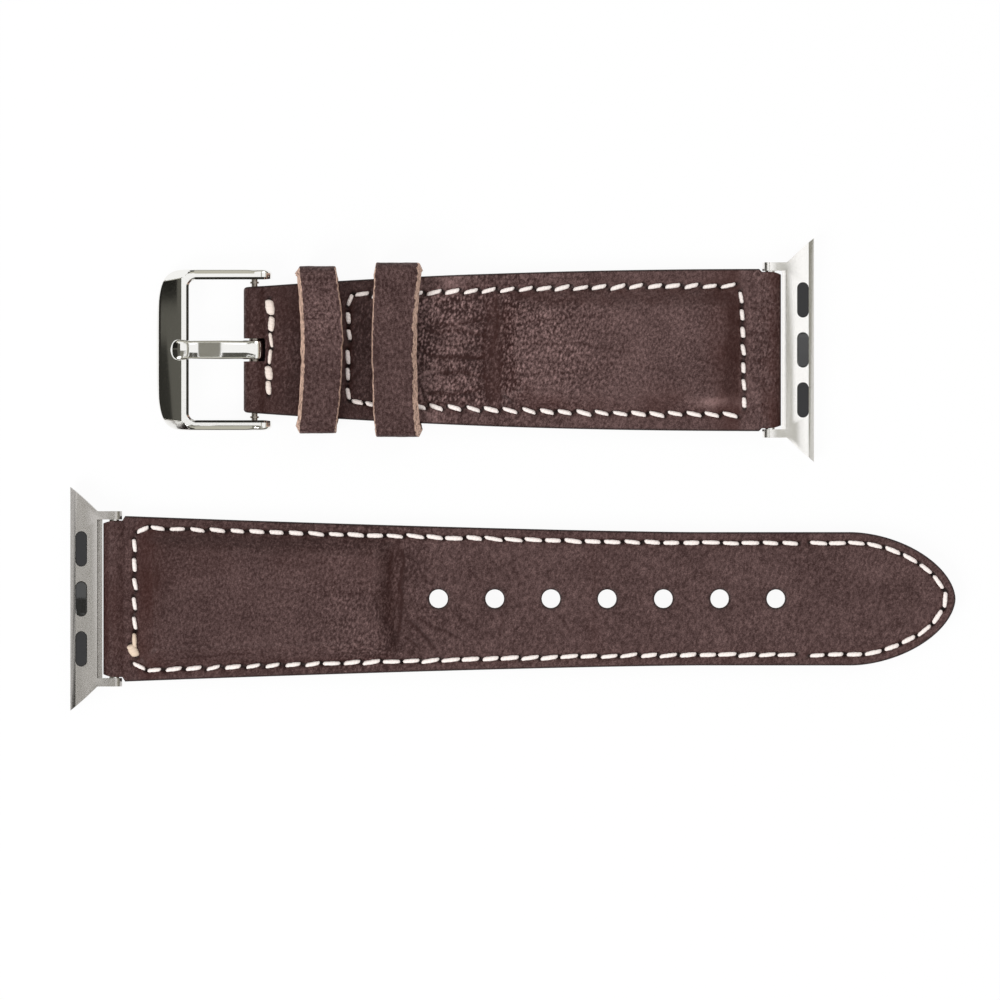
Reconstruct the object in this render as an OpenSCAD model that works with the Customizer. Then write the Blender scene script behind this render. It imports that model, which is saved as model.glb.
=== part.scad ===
// Two-piece leather watch strap with slide-in lug adapters, laid flat, face up.
// The long half has the holes; the short half has the buckle and the two keepers.
// Each half is drawn from its lug pin, with x towards its free end, and then put in place.

/* [Layout] */
// Distance between the centre lines of the two halves
half_pitch = 34.5; // [33:0.5:60]
// How far the short half's lug pin stops short of the long half's tip
tip_lead = 25.7; // [15:0.1:35]

/* [Long half] */
// Leather length from lug end to tip
long_len = 118.2; // [114:0.1:126]
// Leather width at the lug end
long_lug_w = 23.2; // [22.4:0.1:24]
// Leather width along the holes
tail_w = 18.5; // [17:0.1:20]
// Length of the rounded point
tip_len = 14.5; // [11:0.1:17]
// Lug pin to the place where the sides become parallel
taper_end = 81; // [70:1:90]
// Lug pin to the first hole
first_hole = 45; // [43.5:0.1:47]
// Distance from hole to hole
hole_pitch = 7.8; // [7:0.1:8.2]
// Number of holes
hole_count = 7; // [5:1:7]
// Hole diameter
hole_d = 2.6; // [2.2:0.1:3]
// Lug pin to the end of the padding
long_pad_end = 38.6; // [30:0.1:39.5]
// Lug pin to the stitches across the lug end
long_cross_u = 2.9; // [2.4:0.1:4]
// Stitch line in from the leather's edge
long_inset = 1.5; // [1.2:0.1:2.4]

/* [Short half] */
// Leather length from lug end to buckle end
short_len = 74.5; // [72:0.1:80]
// Leather width at the lug end
short_lug_w = 22.5; // [22.3:0.1:24]
// Leather width at the buckle end
short_end_w = 17.3; // [16:0.1:18]
// Lug pin to the end of the padding
short_pad_end = 37.0; // [30:0.1:37.5]
// Lug pin to the first bending line
crease_u = 38.4; // [38.2:0.1:39]
// Distance between the two bending lines
crease_len = 4.6; // [4:0.1:5]
// Lug pin to the stitches across the lug end
short_cross_u = 3.8; // [3:0.1:5]
// Stitch line in from the leather's edge
short_inset = 2.3; // [1.6:0.1:2.6]
// Buckle pin back to the stitches across the strap between the keepers
inner_cross_back = 13.0; // [12.8:0.1:13.4]
// Buckle pin back to the short row of stitches at the buckle
tack_back = 2.4; // [2.3:0.1:2.7]
// Half the length of that row
tack_reach = 6.6; // [4:0.1:7]

/* [Leather] */
// Thickness of the top leather
upper_t = 1.3; // [1:0.05:1.6]
// Thickness of the lining
lining_t = 1.0; // [0.8:0.05:1.2]
// Height that the padding adds
pad_rise = 1.9; // [1.2:0.1:2.6]
// Width of the padding's rounded shoulder
pad_slope = 1.9; // [1:0.1:2.5]
// Corner radius of the padding, seen from above
pad_corner_r = 1.5; // [0.5:0.1:3]
// Radius of the turned ends that hold the pins
roll_r = 1.5; // [1.4:0.05:1.7]
// Length of the turned-under flap past its pin
flap_len = 4.2; // [4.1:0.1:6]
// Bend at each line of the long half, in degrees
long_bend = 26; // [10:1:28]
// Bend at each line of the short half, in degrees
short_bend = 20; // [10:1:22]

/* [Stitching] */
// Stitch spacing
stitch_pitch = 2.6; // [2.5:0.1:3.2]
// Length of thread that shows
stitch_len = 2.0; // [1.4:0.1:2]
// Thread width
thread_w = 0.6; // [0.4:0.05:0.7]
// Depth of the groove that the stitches lie in
groove_d = 0.25; // [0.15:0.05:0.35]

/* [Keepers] */
// Thickness of the keeper leather
keeper_t = 1.1; // [0.9:0.05:1.3]
// Thickness of the thinned run under the strap
keeper_base_t = 0.9; // [0.7:0.05:1.1]
// Height inside, beyond two thicknesses of strap
keeper_headroom = 0.3; // [0.1:0.05:0.6]
// Width of the fixed keeper along the strap
fixed_keeper_len = 6.6; // [5:0.1:6.8]
// Width of the free keeper along the strap
free_keeper_len = 7.0; // [5:0.1:7.2]
// Buckle pin back to the middle of the fixed keeper
fixed_keeper_back = 9.0; // [8.8:0.1:9.2]
// Buckle pin back to the middle of the free keeper
free_keeper_back = 19.7; // [19.4:0.1:19.9]
// Side room between strap and fixed keeper
fixed_keeper_room = 0.9; // [0.6:0.05:1.2]
// Side room between strap and free keeper
free_keeper_room = 0.85; // [0.6:0.05:1.2]

/* [Buckle] */
// Overall length of the frame
frame_len = 15.95; // [15:0.05:18]
// Overall width of the frame
frame_w = 22.3; // [22:0.1:24]
// Width of the side arms
frame_arm_w = 1.4; // [1.3:0.05:1.5]
// Width of the front bar
front_bar_w = 4.5; // [3.5:0.1:5]
// Width of the flat lip along the front bar's inner edge
lip_w = 1.1; // [0.8:0.1:1.5]
// Height of the lip above the spring bar's centre
lip_z = 0.95; // [0.8:0.05:1.1]
// Outer corner radius
frame_corner_r = 2.4; // [1.5:0.1:3]
// How far the arms reach past the spring bar
frame_tail = 2.35; // [2:0.05:2.6]
// Radius of the arms' ends
ear_r = 1.35; // [1.2:0.05:1.5]
// Tongue width
tongue_w = 2.5; // [2:0.1:2.6]
// Tongue reach past the front bar's inner edge
tongue_over = 2.5; // [2:0.1:3]
// Tongue thickness
tongue_t = 0.95; // [0.8:0.05:1]
// Spring bar diameter
bar_d = 1.5; // [1.3:0.05:1.6]
// Spring bar tip diameter
bar_tip_d = 0.84; // [0.7:0.02:0.9]

/* [Lug adapter] */
// Length of the rail that slides into the watch case
rail_len = 31.0; // [30:0.1:33]
// Depth of the rail
rail_depth = 3.75; // [3.4:0.05:4.2]
// Thickness of the rail
rail_t = 2.8; // [2.7:0.05:2.95]
// Width of the bevel along the rail's outer edge
rail_bevel = 0.75; // [0.4:0.05:0.9]
// Gap between the arms
fork_w = 22.0; // [21.6:0.1:22.1]
// Width of each arm
arm_w = 1.15; // [1.1:0.05:1.4]
// Radius of the arms' ends
arm_end_r = 1.1; // [1:0.05:1.2]
// Distance from the pin to the inner face of the rail
rail_back = 2.3; // [2.25:0.05:2.6]
// Width of the slots in the rail
slot_w = 1.6; // [1.4:0.05:1.7]
// Length of the slots in the rail
slot_len = 4.9; // [4:0.1:5.2]
// Depth of the two outer slots
slot_depth = 0.9; // [0.6:0.05:1.1]
// Distance from slot to slot
slot_pitch = 6.93; // [6.6:0.05:8]
// Inner face of the rail to the middle of the slots
slot_back = 2.2; // [2:0.05:2.3]
// Height of the button above the rail
button_rise = 0.35; // [0.2:0.05:0.5]
// Diameter of the tube round the screws
lug_tube_d = 1.4; // [1.3:0.05:1.5]
// Diameter of the screws
screw_d = 0.94; // [0.8:0.02:0.96]
// Diameter of the screw heads
screw_head_d = 1.7; // [1.5:0.05:1.8]

/* [Hidden] */
$fn = 48;
LONG = 0;
SHORT = 1;
leather_colour = [0.34, 0.25, 0.24];
lining_colour = [0.42, 0.31, 0.25];
thread_colour = [0.93, 0.87, 0.82];
steel_colour = [0.80, 0.80, 0.80];
satin_colour = [0.72, 0.71, 0.69];
rubber_colour = [0.12, 0.12, 0.13];
felt_colour = [0.80, 0.77, 0.70];

run_gap = 0.06;         // running clearance of a pin in its bore
slide_gap = 0.05;       // clearance of a piece that slides
press_gap = 0.02;       // clearance of a piece that is pressed in
screw_gap = 0.03;       // clearance round a screw
kerf = 0.06;            // width of the hairline cut at a bending line
fork_gap = 0.15;        // leather to the inside of an adapter's arms
notch_gap = 0.25;       // leather to the end of an adapter's arms
strap_t = upper_t + lining_t;
step_up = keeper_base_t + slide_gap;  // the strap rises this much to pass over its keepers
fork_leather_w = fork_w - 2 * fork_gap;
reach = 60;             // longer than any width of the strap
tall = 20;              // taller than the strap
sliver = 0.01;

tip_u = long_len - roll_r;
tip_start = tip_u - tip_len;
bar_u = short_len - 2 * roll_r;
bar_z = step_up + roll_r;

// Bending lines of the long half fall midway between holes, a pair of holes apart
long_hinges = 5;
long_cuts = concat([0], [for (k = [0:long_hinges - 1]) first_hole + (2 * k - 0.5) * hole_pitch],
                   [tip_u]);
short_cuts = [0, crease_u, crease_u + crease_len, bar_u];

// Where each half's lug pin lies, with the whole strap centred on the origin
rail_out = rail_back + rail_depth;
whole_len = tip_u + rail_out;
long_pin = [rail_out - whole_len / 2, -half_pitch / 2];
short_pin = [long_pin[0] + tip_u - tip_lead, half_pitch / 2];

function half(h, long_value, short_value) = h == LONG ? long_value : short_value;
function cuts(h) = half(h, long_cuts, short_cuts);
function inset(h) = half(h, long_inset, short_inset);
function cross_u(h) = half(h, long_cross_u, short_cross_u);
function pad_end(h) = half(h, long_pad_end, short_pad_end);
function bend(h) = half(h, long_bend, short_bend);
function is_buckle_end(h, i) = h == SHORT && i == len(short_cuts) - 2;
function unit(t) = min(1, max(0, t));
function spread(a, b, n) = [for (k = [0:n]) a + (b - a) * k / n];
function flip(points) = [for (k = [len(points) - 1:-1:0]) [points[k][0], -points[k][1]]];

// Half the leather's width at u, drawn in by d
function tip_shape(s) = pow(1 - pow(1 - unit(s), 1.8), 0.56);
function taper_w(u) = tail_w
    + (long_lug_w - tail_w) * pow(1 - unit((u + roll_r) / (taper_end + roll_r)), 1.35);
function long_half_w(u, d) = u <= tip_start ? taper_w(u) / 2 - d
    : (tail_w / 2 - d) * tip_shape((tip_u - d - u) / (tip_len - d));
function short_half_w(u, d) = (short_lug_w
    - (short_lug_w - short_end_w) * pow(1 - unit((bar_u + roll_r - u) / short_len), 2.2)) / 2 - d;
function half_w(h, u, d = 0) = h == LONG ? long_half_w(u, d) : short_half_w(u, d);

// How far the underside at u lies above the surface that the strap rests on
function rise(h, u) = h == LONG ? 0 : step_up * unit((u - crease_u) / crease_len);

// Points along one side of the leather, from u0 to u1 or to the tip
function tip_points(d, n = 14) =
    [for (k = [n - 1:-1:0]) let (u = tip_u - d - (tip_len - d) * (1 - cos(90 * k / n)))
        [u, half_w(LONG, u, d)]];
function side_points(h, u0, u1, d = 0) =
    concat([for (u = spread(u0, half(h, tip_start, u1), 16)) [u, half_w(h, u, d)]],
           h == LONG ? tip_points(d) : []);

module side_cut(points) {
    rotate([90, 0, 0]) linear_extrude(height = reach, center = true) polygon(points);
}

module cross_cylinder(u, z, r, length) {
    translate([u, 0, z]) rotate([90, 0, 0]) cylinder(r = r, h = length, center = true);
}

module through(z0 = -1) {
    translate([0, 0, z0]) linear_extrude(height = tall) children();
}

// The leather seen from above, notched at the lug end for the adapter's arms
module outline(h) {
    side = side_points(h, -roll_r, bar_u);
    difference() {
        polygon(concat(side, flip(side)));
        for (s = [-1, 1])
            translate([0, s * (fork_leather_w + reach) / 2])
                square([2 * (arm_end_r + notch_gap), reach], center = true);
    }
}

// A layer of the strap between u0 and u1, from z0 to z1 above its underside
module layer(h, u0, u1, z0, z1) {
    turns = h == LONG ? [] : [crease_u, crease_u + crease_len];
    inner = [for (u = turns) if (u > u0 && u < u1) u];
    stops = concat([u0], inner, [u1]);
    side_cut(concat([for (u = stops) [u, rise(h, u) + z0]],
                    [for (k = [len(stops) - 1:-1:0]) [stops[k], rise(h, stops[k]) + z1]]));
}

// The cut at a bending line: a hairline through the top leather, a V in the lining
module bend_cut(h, u) {
    z = rise(h, u) + lining_t;
    g = kerf / 2;
    v = g + tall * tan(bend(h) / 2);
    side_cut([[u - g, tall], [u - g, z], [u - v, z - tall],
              [u + v, z - tall], [u + g, z], [u + g, tall]]);
}

module segment(h, i, u0, u1, z0, z1) {
    intersection() {
        through() outline(h);
        difference() {
            layer(h, u0, u1, z0, z1);
            if (i > 0) bend_cut(h, cuts(h)[i]);
            if (i < len(cuts(h)) - 2) bend_cut(h, cuts(h)[i + 1]);
        }
    }
}

// The groove that the stitches lie in: round the half, and across the strap at the buckle
groove_w = thread_w + 0.2;
bead_t = 0.4;
bead_sink = 0.05;       // the stitches underneath lie this far inside the lining
bottom_groove_d = bead_sink + bead_t + sliver;

module stitch_ring(h, d) {
    past = d - inset(h);
    side = side_points(h, cross_u(h) + past, inner_cross_u - past, d);
    polygon(concat(side, flip(side)));
}

module stitch_strip(h) {
    difference() {
        stitch_ring(h, inset(h) - groove_w / 2);
        stitch_ring(h, inset(h) + groove_w / 2);
    }
    if (h == SHORT)
        translate([tack_u, 0]) square([groove_w, 2 * tack_reach + stitch_pitch], center = true);
}

module grooves(h, z0, z1) {
    intersection() {
        through() stitch_strip(h);
        layer(h, -roll_r, half(h, tip_u, bar_u), z0, z1);
    }
}

module holes(i) {
    for (k = [0:hole_count - 1]) {
        u = first_hole + k * hole_pitch;
        if (u > long_cuts[i] && u < long_cuts[i + 1])
            translate([u, 0, -1]) cylinder(d = hole_d, h = tall);
    }
}

// Padding: a pillow with round shoulders from z0 to z1, its foot drawn in by d
pad_margin = 0.5;       // edge of the stitch groove to the foot of the padding
filler_inset = 0.5;     // foot of the padding to the filler inside it

function corner_cut(e) = pad_corner_r * (1 - sqrt(1 - pow(1 - unit(e / pad_corner_r), 2)));
function corner_stops(u, s) = [for (a = [0:30:90]) u + s * pad_corner_r * (1 - cos(a))];

module pad_plan(h, d) {
    margin = groove_w / 2 + pad_margin + d;
    u0 = cross_u(h) + margin;
    u1 = pad_end(h) - d;
    stops = corner_stops(u1, -1);
    side = [for (u = concat(corner_stops(u0, 1), [for (k = [len(stops) - 1:-1:0]) stops[k]]))
        [u, half_w(h, u) - inset(h) - margin - corner_cut(min(u - u0, u1 - u))]];
    polygon(concat(side, flip(side)));
}

module pillow(h, z0, z1, d) {
    hull() for (a = [0:18:90])
        translate([0, 0, z0 + (z1 - z0 - sliver) * sin(a)])
            linear_extrude(height = sliver) pad_plan(h, d + pad_slope * (1 - cos(a)));
}

module filler(h) {
    color(felt_colour) pillow(h, lining_t, lining_t + pad_rise, filler_inset);
}

// The top leather of segment i. The first one turns under round the lug pin, and the
// short half's last one round the spring bar, with a slot for the tongue.
module upper(h, i) {
    color(leather_colour) difference() {
        union() {
            segment(h, i, cuts(h)[i], cuts(h)[i + 1], lining_t, strap_t);
            if (i == 0) {
                segment(h, i, 0, flap_len, 0, lining_t);
                cross_cylinder(0, roll_r, roll_r, fork_leather_w);
                pillow(h, strap_t - sliver, strap_t + pad_rise, 0);
            }
            if (is_buckle_end(h, i)) {
                segment(h, i, bar_u - flap_len, bar_u, 0, lining_t);
                cross_cylinder(bar_u, bar_z, roll_r, 2 * half_w(h, bar_u));
            }
        }
        grooves(h, strap_t - groove_d, strap_t + roll_r);
        grooves(h, -1, bottom_groove_d);
        if (h == LONG) holes(i);
        if (i == 0) {
            cross_cylinder(0, roll_r, lug_tube_d / 2 + run_gap, reach);
            pillow(h, lining_t, lining_t + pad_rise, filler_inset);
        }
        if (is_buckle_end(h, i)) {
            cross_cylinder(bar_u, bar_z, bar_d / 2 + run_gap, reach);
            translate([slot_u, -tongue_slot_w / 2, -1]) cube([tall, tongue_slot_w, tall]);
        }
    }
}

module lining(h, i) {
    u0 = i == 0 ? flap_len + kerf : cuts(h)[i];
    u1 = is_buckle_end(h, i) ? bar_u - flap_len - kerf : cuts(h)[i + 1];
    color(lining_colour) difference() {
        segment(h, i, u0, u1, 0, lining_t);
        grooves(h, -1, bottom_groove_d);
        if (h == LONG) holes(i);
    }
}

// Stitches, each [u, y, angle], evenly spaced between one bending line and the next
function slope(h, u, s) = s * atan(half_w(h, u + 0.5) - half_w(h, u - 0.5));
function row(h, u0, u1) = let (n = max(1, round((u1 - u0) / stitch_pitch)))
    [for (s = [-1, 1], k = [0:n - 1]) let (u = u0 + (k + 0.5) * (u1 - u0) / n)
        [u, s * half_w(h, u, inset(h)), slope(h, u, s)]];
function across(u, w) = let (n = max(1, round(2 * w / stitch_pitch)))
    [for (k = [0:n - 1]) [u, -w + (k + 0.5) * 2 * w / n, 90]];
function cross_row(h, u) = across(u, half_w(h, u, inset(h)) - stitch_pitch / 4);

// The row round the tip, placed by its length along the line
tip_row_u0 = long_cuts[long_hinges];
tip_line = [for (p = concat([[tip_start, half_w(LONG, tip_start, long_inset)]],
                            tip_points(long_inset, 24))) if (p[0] > tip_row_u0 + sliver) p];
tip_path = concat([[tip_row_u0, half_w(LONG, tip_row_u0, long_inset)]], tip_line);
tip_last = len(tip_path) - 1;
tip_run = [for (k = 0, run = 0; k <= tip_last;
                run = run + (k < tip_last ? norm(tip_path[k + 1] - tip_path[k]) : 0), k = k + 1) run];
function along_tip(s, axis) = lookup(s, [for (k = [0:tip_last]) [tip_run[k], tip_path[k][axis]]]);
function tip_at(s) = s <= tip_run[tip_last] ? [along_tip(s, 0), along_tip(s, 1)]
    : [along_tip(2 * tip_run[tip_last] - s, 0), -along_tip(2 * tip_run[tip_last] - s, 1)];
function tip_row() = let (whole = 2 * tip_run[tip_last], n = round(whole / stitch_pitch))
    [for (k = [0:n - 1]) let (s = (k + 0.5) * whole / n,
        q = tip_at(s + stitch_len / 4) - tip_at(s - stitch_len / 4))
        concat(tip_at(s), atan2(q[1], q[0]))];

inner_cross_u = bar_u - inner_cross_back;
tack_u = bar_u - tack_back;
function long_stitches(i) = i == 0
    ? concat(cross_row(LONG, long_cross_u), row(LONG, long_cross_u + thread_w, long_cuts[1]))
    : i < long_hinges ? row(LONG, long_cuts[i], long_cuts[i + 1]) : tip_row();
function short_stitches(i) = i == 0
    ? concat(cross_row(SHORT, short_cross_u), row(SHORT, short_cross_u + thread_w, short_cuts[1]))
    : i == 1 ? row(SHORT, short_cuts[1], short_cuts[2])
    : concat(row(SHORT, short_cuts[2], inner_cross_u - thread_w),
             cross_row(SHORT, inner_cross_u), across(tack_u, tack_reach));

module bead() {
    linear_extrude(height = bead_t) {
        square([stitch_len - thread_w, thread_w], center = true);
        for (s = [-1, 1]) translate([s * (stitch_len - thread_w) / 2, 0]) circle(d = thread_w, $fn = 16);
    }
}

module thread(h, i) {
    lean = h == SHORT && i == 1 ? atan(step_up / crease_len) : 0;
    color(thread_colour)
        for (p = h == LONG ? long_stitches(i) : short_stitches(i))
            translate([p[0], p[1], rise(h, p[0])]) rotate([0, -lean, 0])
                for (z = [bead_sink, strap_t - groove_d])
                    translate([0, 0, z]) rotate([0, 0, p[2]]) bead();
}

module rounded_rectangle(w, l, r) {
    square([w, l - 2 * r], center = true);
    square([w - 2 * r, l], center = true);
    for (x = [-1, 1], y = [-1, 1]) translate([x * (w / 2 - r), y * (l / 2 - r)]) circle(r = r);
}

// A closed band of leather round the strap, its underside at z = 0
keeper_inner_r = 0.5;

module keeper(back, length, room, base_t) {
    u = bar_u - back;
    inner_w = 2 * (half_w(SHORT, u - length / 2) + room);
    inner_h = 2 * strap_t + keeper_headroom;
    outer_h = base_t + inner_h + keeper_t;
    color(leather_colour)
        translate([u - length / 2, 0, 0]) rotate([90, 0, 90]) linear_extrude(height = length)
            difference() {
                translate([0, outer_h / 2])
                    rounded_rectangle(inner_w + 2 * keeper_t, outer_h, keeper_t + keeper_inner_r);
                translate([0, base_t + inner_h / 2])
                    rounded_rectangle(inner_w, inner_h, keeper_inner_r);
            }
}

// An unbroken coil along y, centred on the origin
module coil(r, wire_d, length, turns) {
    rings = 6 * turns;
    sides = 4;
    climb = length - wire_d;
    points = [for (k = [0:rings], s = [0:sides - 1])
        let (a = 360 * turns * k / rings, b = 360 * s / sides, q = r + wire_d / 2 * cos(b))
        [q * cos(a), climb * (k / rings - 0.5) + wire_d / 2 * sin(b), q * sin(a)]];
    skin = [for (k = [0:rings - 1], s = [0:sides - 1])
        let (p = k * sides + s, q = k * sides + (s + 1) % sides)
        each [[p, q, p + sides], [q, q + sides, p + sides]]];
    ends = [for (s = [1:sides - 2]) each [[0, s + 1, s],
        [rings * sides, rings * sides + s, rings * sides + s + 1]]];
    polyhedron(points = points, faces = concat(skin, ends));
}

// Buckle, drawn with the spring bar through the origin
arm_gap = frame_w - 2 * frame_arm_w;
frame_front = frame_len - frame_tail;
bar_inner = frame_front - front_bar_w;
frame_inner_r = 1.0;
ear_wall = 0.25;        // metal left at the bottom of the ears' blind holes
edge = 0.5;             // bevel under the front edge
nose = [frame_front - 0.3, -0.45];
nose_foot = -0.9;

module at_bar() { translate([bar_u, 0, bar_z]) children(); }

module frame_plan() {
    difference() {
        union() {
            translate([(frame_front - frame_tail) / 2, 0])
                rounded_rectangle(frame_len, frame_w, frame_corner_r);
            translate([-frame_tail, -frame_w / 2]) square([2 * frame_corner_r, frame_w]);
        }
        translate([(bar_inner - frame_len) / 2, 0])
            rounded_rectangle(frame_len + bar_inner, arm_gap, frame_inner_r);
    }
}

module buckle_frame() {
    tail_u = ear_r - frame_tail;
    arm_foot = -ear_r - 0.6;
    color(steel_colour) at_bar() difference() {
        intersection() {
            through(-tall / 2) frame_plan();
            union() {
                side_cut([[tail_u, -ear_r], [bar_inner, arm_foot], [bar_inner + edge, -bar_z],
                          [frame_front - edge, -bar_z], [frame_front, edge - bar_z],
                          [frame_front, nose_foot], nose, [bar_inner + lip_w, lip_z],
                          [bar_inner, lip_z], [tail_u, ear_r]]);
                cross_cylinder(tail_u, 0, ear_r, reach);
            }
        }
        cross_cylinder(0, 0, bar_tip_d / 2 + slide_gap, frame_w - 2 * ear_wall);
    }
}

// The tongue's eye goes round the spring bar, and its point bends down over the front bar
tongue_eye_r = bar_d / 2 + 0.45;
tongue_slot_w = tongue_w + 0.7;
slot_u = bar_u - tongue_eye_r - 0.4;
tongue_len = bar_inner + tongue_over;
tongue_drop = 0.55;
point_t = tongue_t - 0.2;

module buckle_tongue() {
    low = lip_z + slide_gap;
    bend_u = bar_inner - 0.3;
    color(steel_colour) at_bar() difference() {
        union() {
            cross_cylinder(0, 0, tongue_eye_r, tongue_w);
            intersection() {
                through(-tall / 2) {
                    translate([0, -tongue_w / 2]) square([tongue_len - tongue_w / 2, tongue_w]);
                    translate([tongue_len - tongue_w / 2, 0]) circle(d = tongue_w);
                }
                side_cut([[0, tongue_eye_r - tongue_t], [bend_u, low], [bar_inner + lip_w, low],
                          [tongue_len, low - tongue_drop], [tongue_len, low - tongue_drop + point_t],
                          [bar_inner + lip_w, low + tongue_t], [bend_u, low + tongue_t],
                          [0, tongue_eye_r]]);
            }
        }
        cross_cylinder(0, 0, bar_d / 2 + run_gap, reach);
    }
}

// Spring bar: a tube with crimped ends, two sprung tips and the coil between them
tip_travel = 1.2;
flange_l = 0.25;
flange_gap = 0.3;       // flange to the inside of the frame's arm
tube_half = arm_gap / 2 - flange_gap - flange_l - tip_travel - 0.1;
crimp = 0.4;            // length of the narrowed ends
bar_bore_r = bar_tip_d / 2 + 0.13;
head_l = 0.5;
head_y = tube_half - crimp - 0.1;
pin_end = arm_gap / 2 + frame_arm_w - ear_wall - slide_gap;

module spring_bar_tube() {
    color(steel_colour) at_bar() difference() {
        cross_cylinder(0, 0, bar_d / 2, 2 * tube_half);
        cross_cylinder(0, 0, bar_bore_r, 2 * (tube_half - crimp));
        cross_cylinder(0, 0, bar_tip_d / 2 + slide_gap, reach);
    }
}

module spring_bar_tip(s) {
    color(steel_colour) at_bar() rotate([-90 * s, 0, 0]) {
        translate([0, 0, head_y - head_l]) cylinder(r = bar_bore_r - slide_gap, h = head_l);
        translate([0, 0, head_y]) cylinder(d = bar_tip_d, h = pin_end - head_y);
        translate([0, 0, arm_gap / 2 - flange_gap - flange_l])
            cylinder(d = bar_tip_d + 0.4, h = flange_l);
    }
}

module spring_bar_spring() {
    wire_d = 0.14;
    color(steel_colour) at_bar()
        coil(bar_bore_r - 0.17, wire_d, 2 * (head_y - head_l), 10);
}

// Lug adapter, drawn with its pin through the origin and its rail towards -x
slot_x = -rail_back - slot_back;
slot_floor = rail_t / 2 - slot_depth;
cover_t = 0.5;
flange_t = 0.5;         // the button's flange, held under the rail's skin
flange_w = 0.25;        // how much wider the pocket under the rail is than the slot
skin_t = 0.7;
flange_top = rail_t / 2 - skin_t - press_gap;
head_h = 0.45;
head_seat = fork_w / 2 + arm_w - head_h - slide_gap;
lip_gap = 0.15;         // rolled leather to the lip that covers it
lip_t = 0.3;
lip_low = -0.9;
lip_high = 0.6;
wing_out = [1.5, 2.2];  // how far the curve of the rail's slanted ends swings out

module at_lug() { translate([0, 0, roll_r]) children(); }

module slot_shape(grow = 0) {
    w = slot_w + 2 * grow;
    l = slot_len + 2 * grow;
    square([w, l - w], center = true);
    for (s = [-1, 1]) translate([0, s * (l - w) / 2]) circle(d = w);
}

function wing(t) = let (arm_y = fork_w / 2 + arm_w, a = [-rail_out, rail_len / 2],
                        c = [wing_out[0] - rail_out, arm_y + wing_out[1]], b = [-rail_back, arm_y])
    (1 - t) * (1 - t) * a + 2 * t * (1 - t) * c + t * t * b;

module rail_plan() {
    side = concat([[-rail_out, 0]], [for (t = spread(0, 1, 6)) wing(t)],
                  [[arm_end_r, fork_w / 2 + arm_w], [arm_end_r, fork_w / 2],
                   [-rail_back, fork_w / 2], [-rail_back, 0]]);
    for (m = [0, 1]) mirror([0, m]) polygon(side);
}

module rail_profile() {
    t = rail_t / 2;
    neck = arm_end_r - rail_back;
    side_cut([[-rail_out, rail_bevel - t], [rail_bevel - rail_out, -t], [-rail_back, -t],
              [neck, -arm_end_r], [0, -arm_end_r], [0, arm_end_r], [neck, arm_end_r],
              [-rail_back, t], [rail_bevel - rail_out, t], [-rail_out, t - rail_bevel]]);
    cross_cylinder(0, 0, arm_end_r, reach);
}

// A thin gutter along the inside of the rail, whose lip hides the rolled leather's end
module inner_lip() {
    lip_x = -roll_r - lip_gap;
    translate([-rail_back - sliver, -fork_w / 2, lip_low])
        cube([rail_back + lip_x + sliver, fork_w, lip_t]);
    translate([lip_x - lip_t, -fork_w / 2, lip_low]) cube([lip_t, fork_w, lip_high - lip_low]);
}

module adapter() {
    color(satin_colour) at_lug() difference() {
        union() {
            intersection() {
                through(-tall / 2) rail_plan();
                rail_profile();
            }
            inner_lip();
        }
        cross_cylinder(0, 0, screw_d / 2 + screw_gap, reach);
        for (s = [-1, 1]) {
            rotate([-90 * s, 0, 0]) translate([0, 0, head_seat])
                cylinder(d = screw_head_d + 2 * slide_gap, h = tall);
            translate([slot_x, s * slot_pitch, 0]) through(slot_floor) slot_shape();
        }
        translate([slot_x, 0, 0]) {
            through(-tall / 2) slot_shape();
            through(flange_top + press_gap - tall) slot_shape(flange_w);
        }
    }
}

module tube() {
    color(steel_colour) at_lug() difference() {
        cross_cylinder(0, 0, lug_tube_d / 2, fork_w - 2 * press_gap);
        cross_cylinder(0, 0, screw_d / 2 + screw_gap, reach);
    }
}

module screws() {
    shank = 4;
    drive = 0.3;        // width and depth of the screwdriver slot
    color(steel_colour) at_lug() for (s = [-1, 1]) rotate([-90 * s, 0, 0])
        translate([0, 0, head_seat]) difference() {
            union() {
                cylinder(d = screw_head_d, h = head_h);
                translate([0, 0, -shank]) cylinder(d = screw_d, h = shank);
            }
            translate([-reach / 2, -drive / 2, head_h - drive]) cube([reach, drive, tall]);
        }
}

module pads() {
    color(rubber_colour) at_lug() for (s = [-1, 1])
        translate([slot_x, s * slot_pitch, slot_floor])
            linear_extrude(height = slot_depth - slide_gap) slot_shape(-press_gap);
}

module button() {
    dome_r = 8;
    color(rubber_colour) at_lug() translate([slot_x, 0, 0]) {
        translate([0, 0, flange_top - flange_t])
            linear_extrude(height = flange_t) slot_shape(flange_w - slide_gap);
        intersection() {
            through(flange_top - sliver) slot_shape(-slide_gap);
            translate([0, 0, rail_t / 2 + button_rise - dome_r]) rotate([0, 90, 0])
                cylinder(r = dome_r, h = reach, center = true, $fn = 96);
        }
    }
}

module button_cover() {
    color(satin_colour) at_lug() translate([slot_x, 0, -rail_t / 2])
        linear_extrude(height = cover_t) slot_shape(flange_w - press_gap);
}

module button_spring() {
    low = cover_t - rail_t / 2;
    high = flange_top - flange_t;
    color(steel_colour) at_lug() translate([slot_x, 0, (low + high) / 2]) rotate([90, 0, 0])
        coil(0.45, 0.12, high - low - 2 * press_gap, 4);
}

module place(h) {
    pin = half(h, long_pin, short_pin);
    translate([pin[0], pin[1], 0]) rotate([0, 0, half(h, 0, 180)]) children();
}

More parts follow.
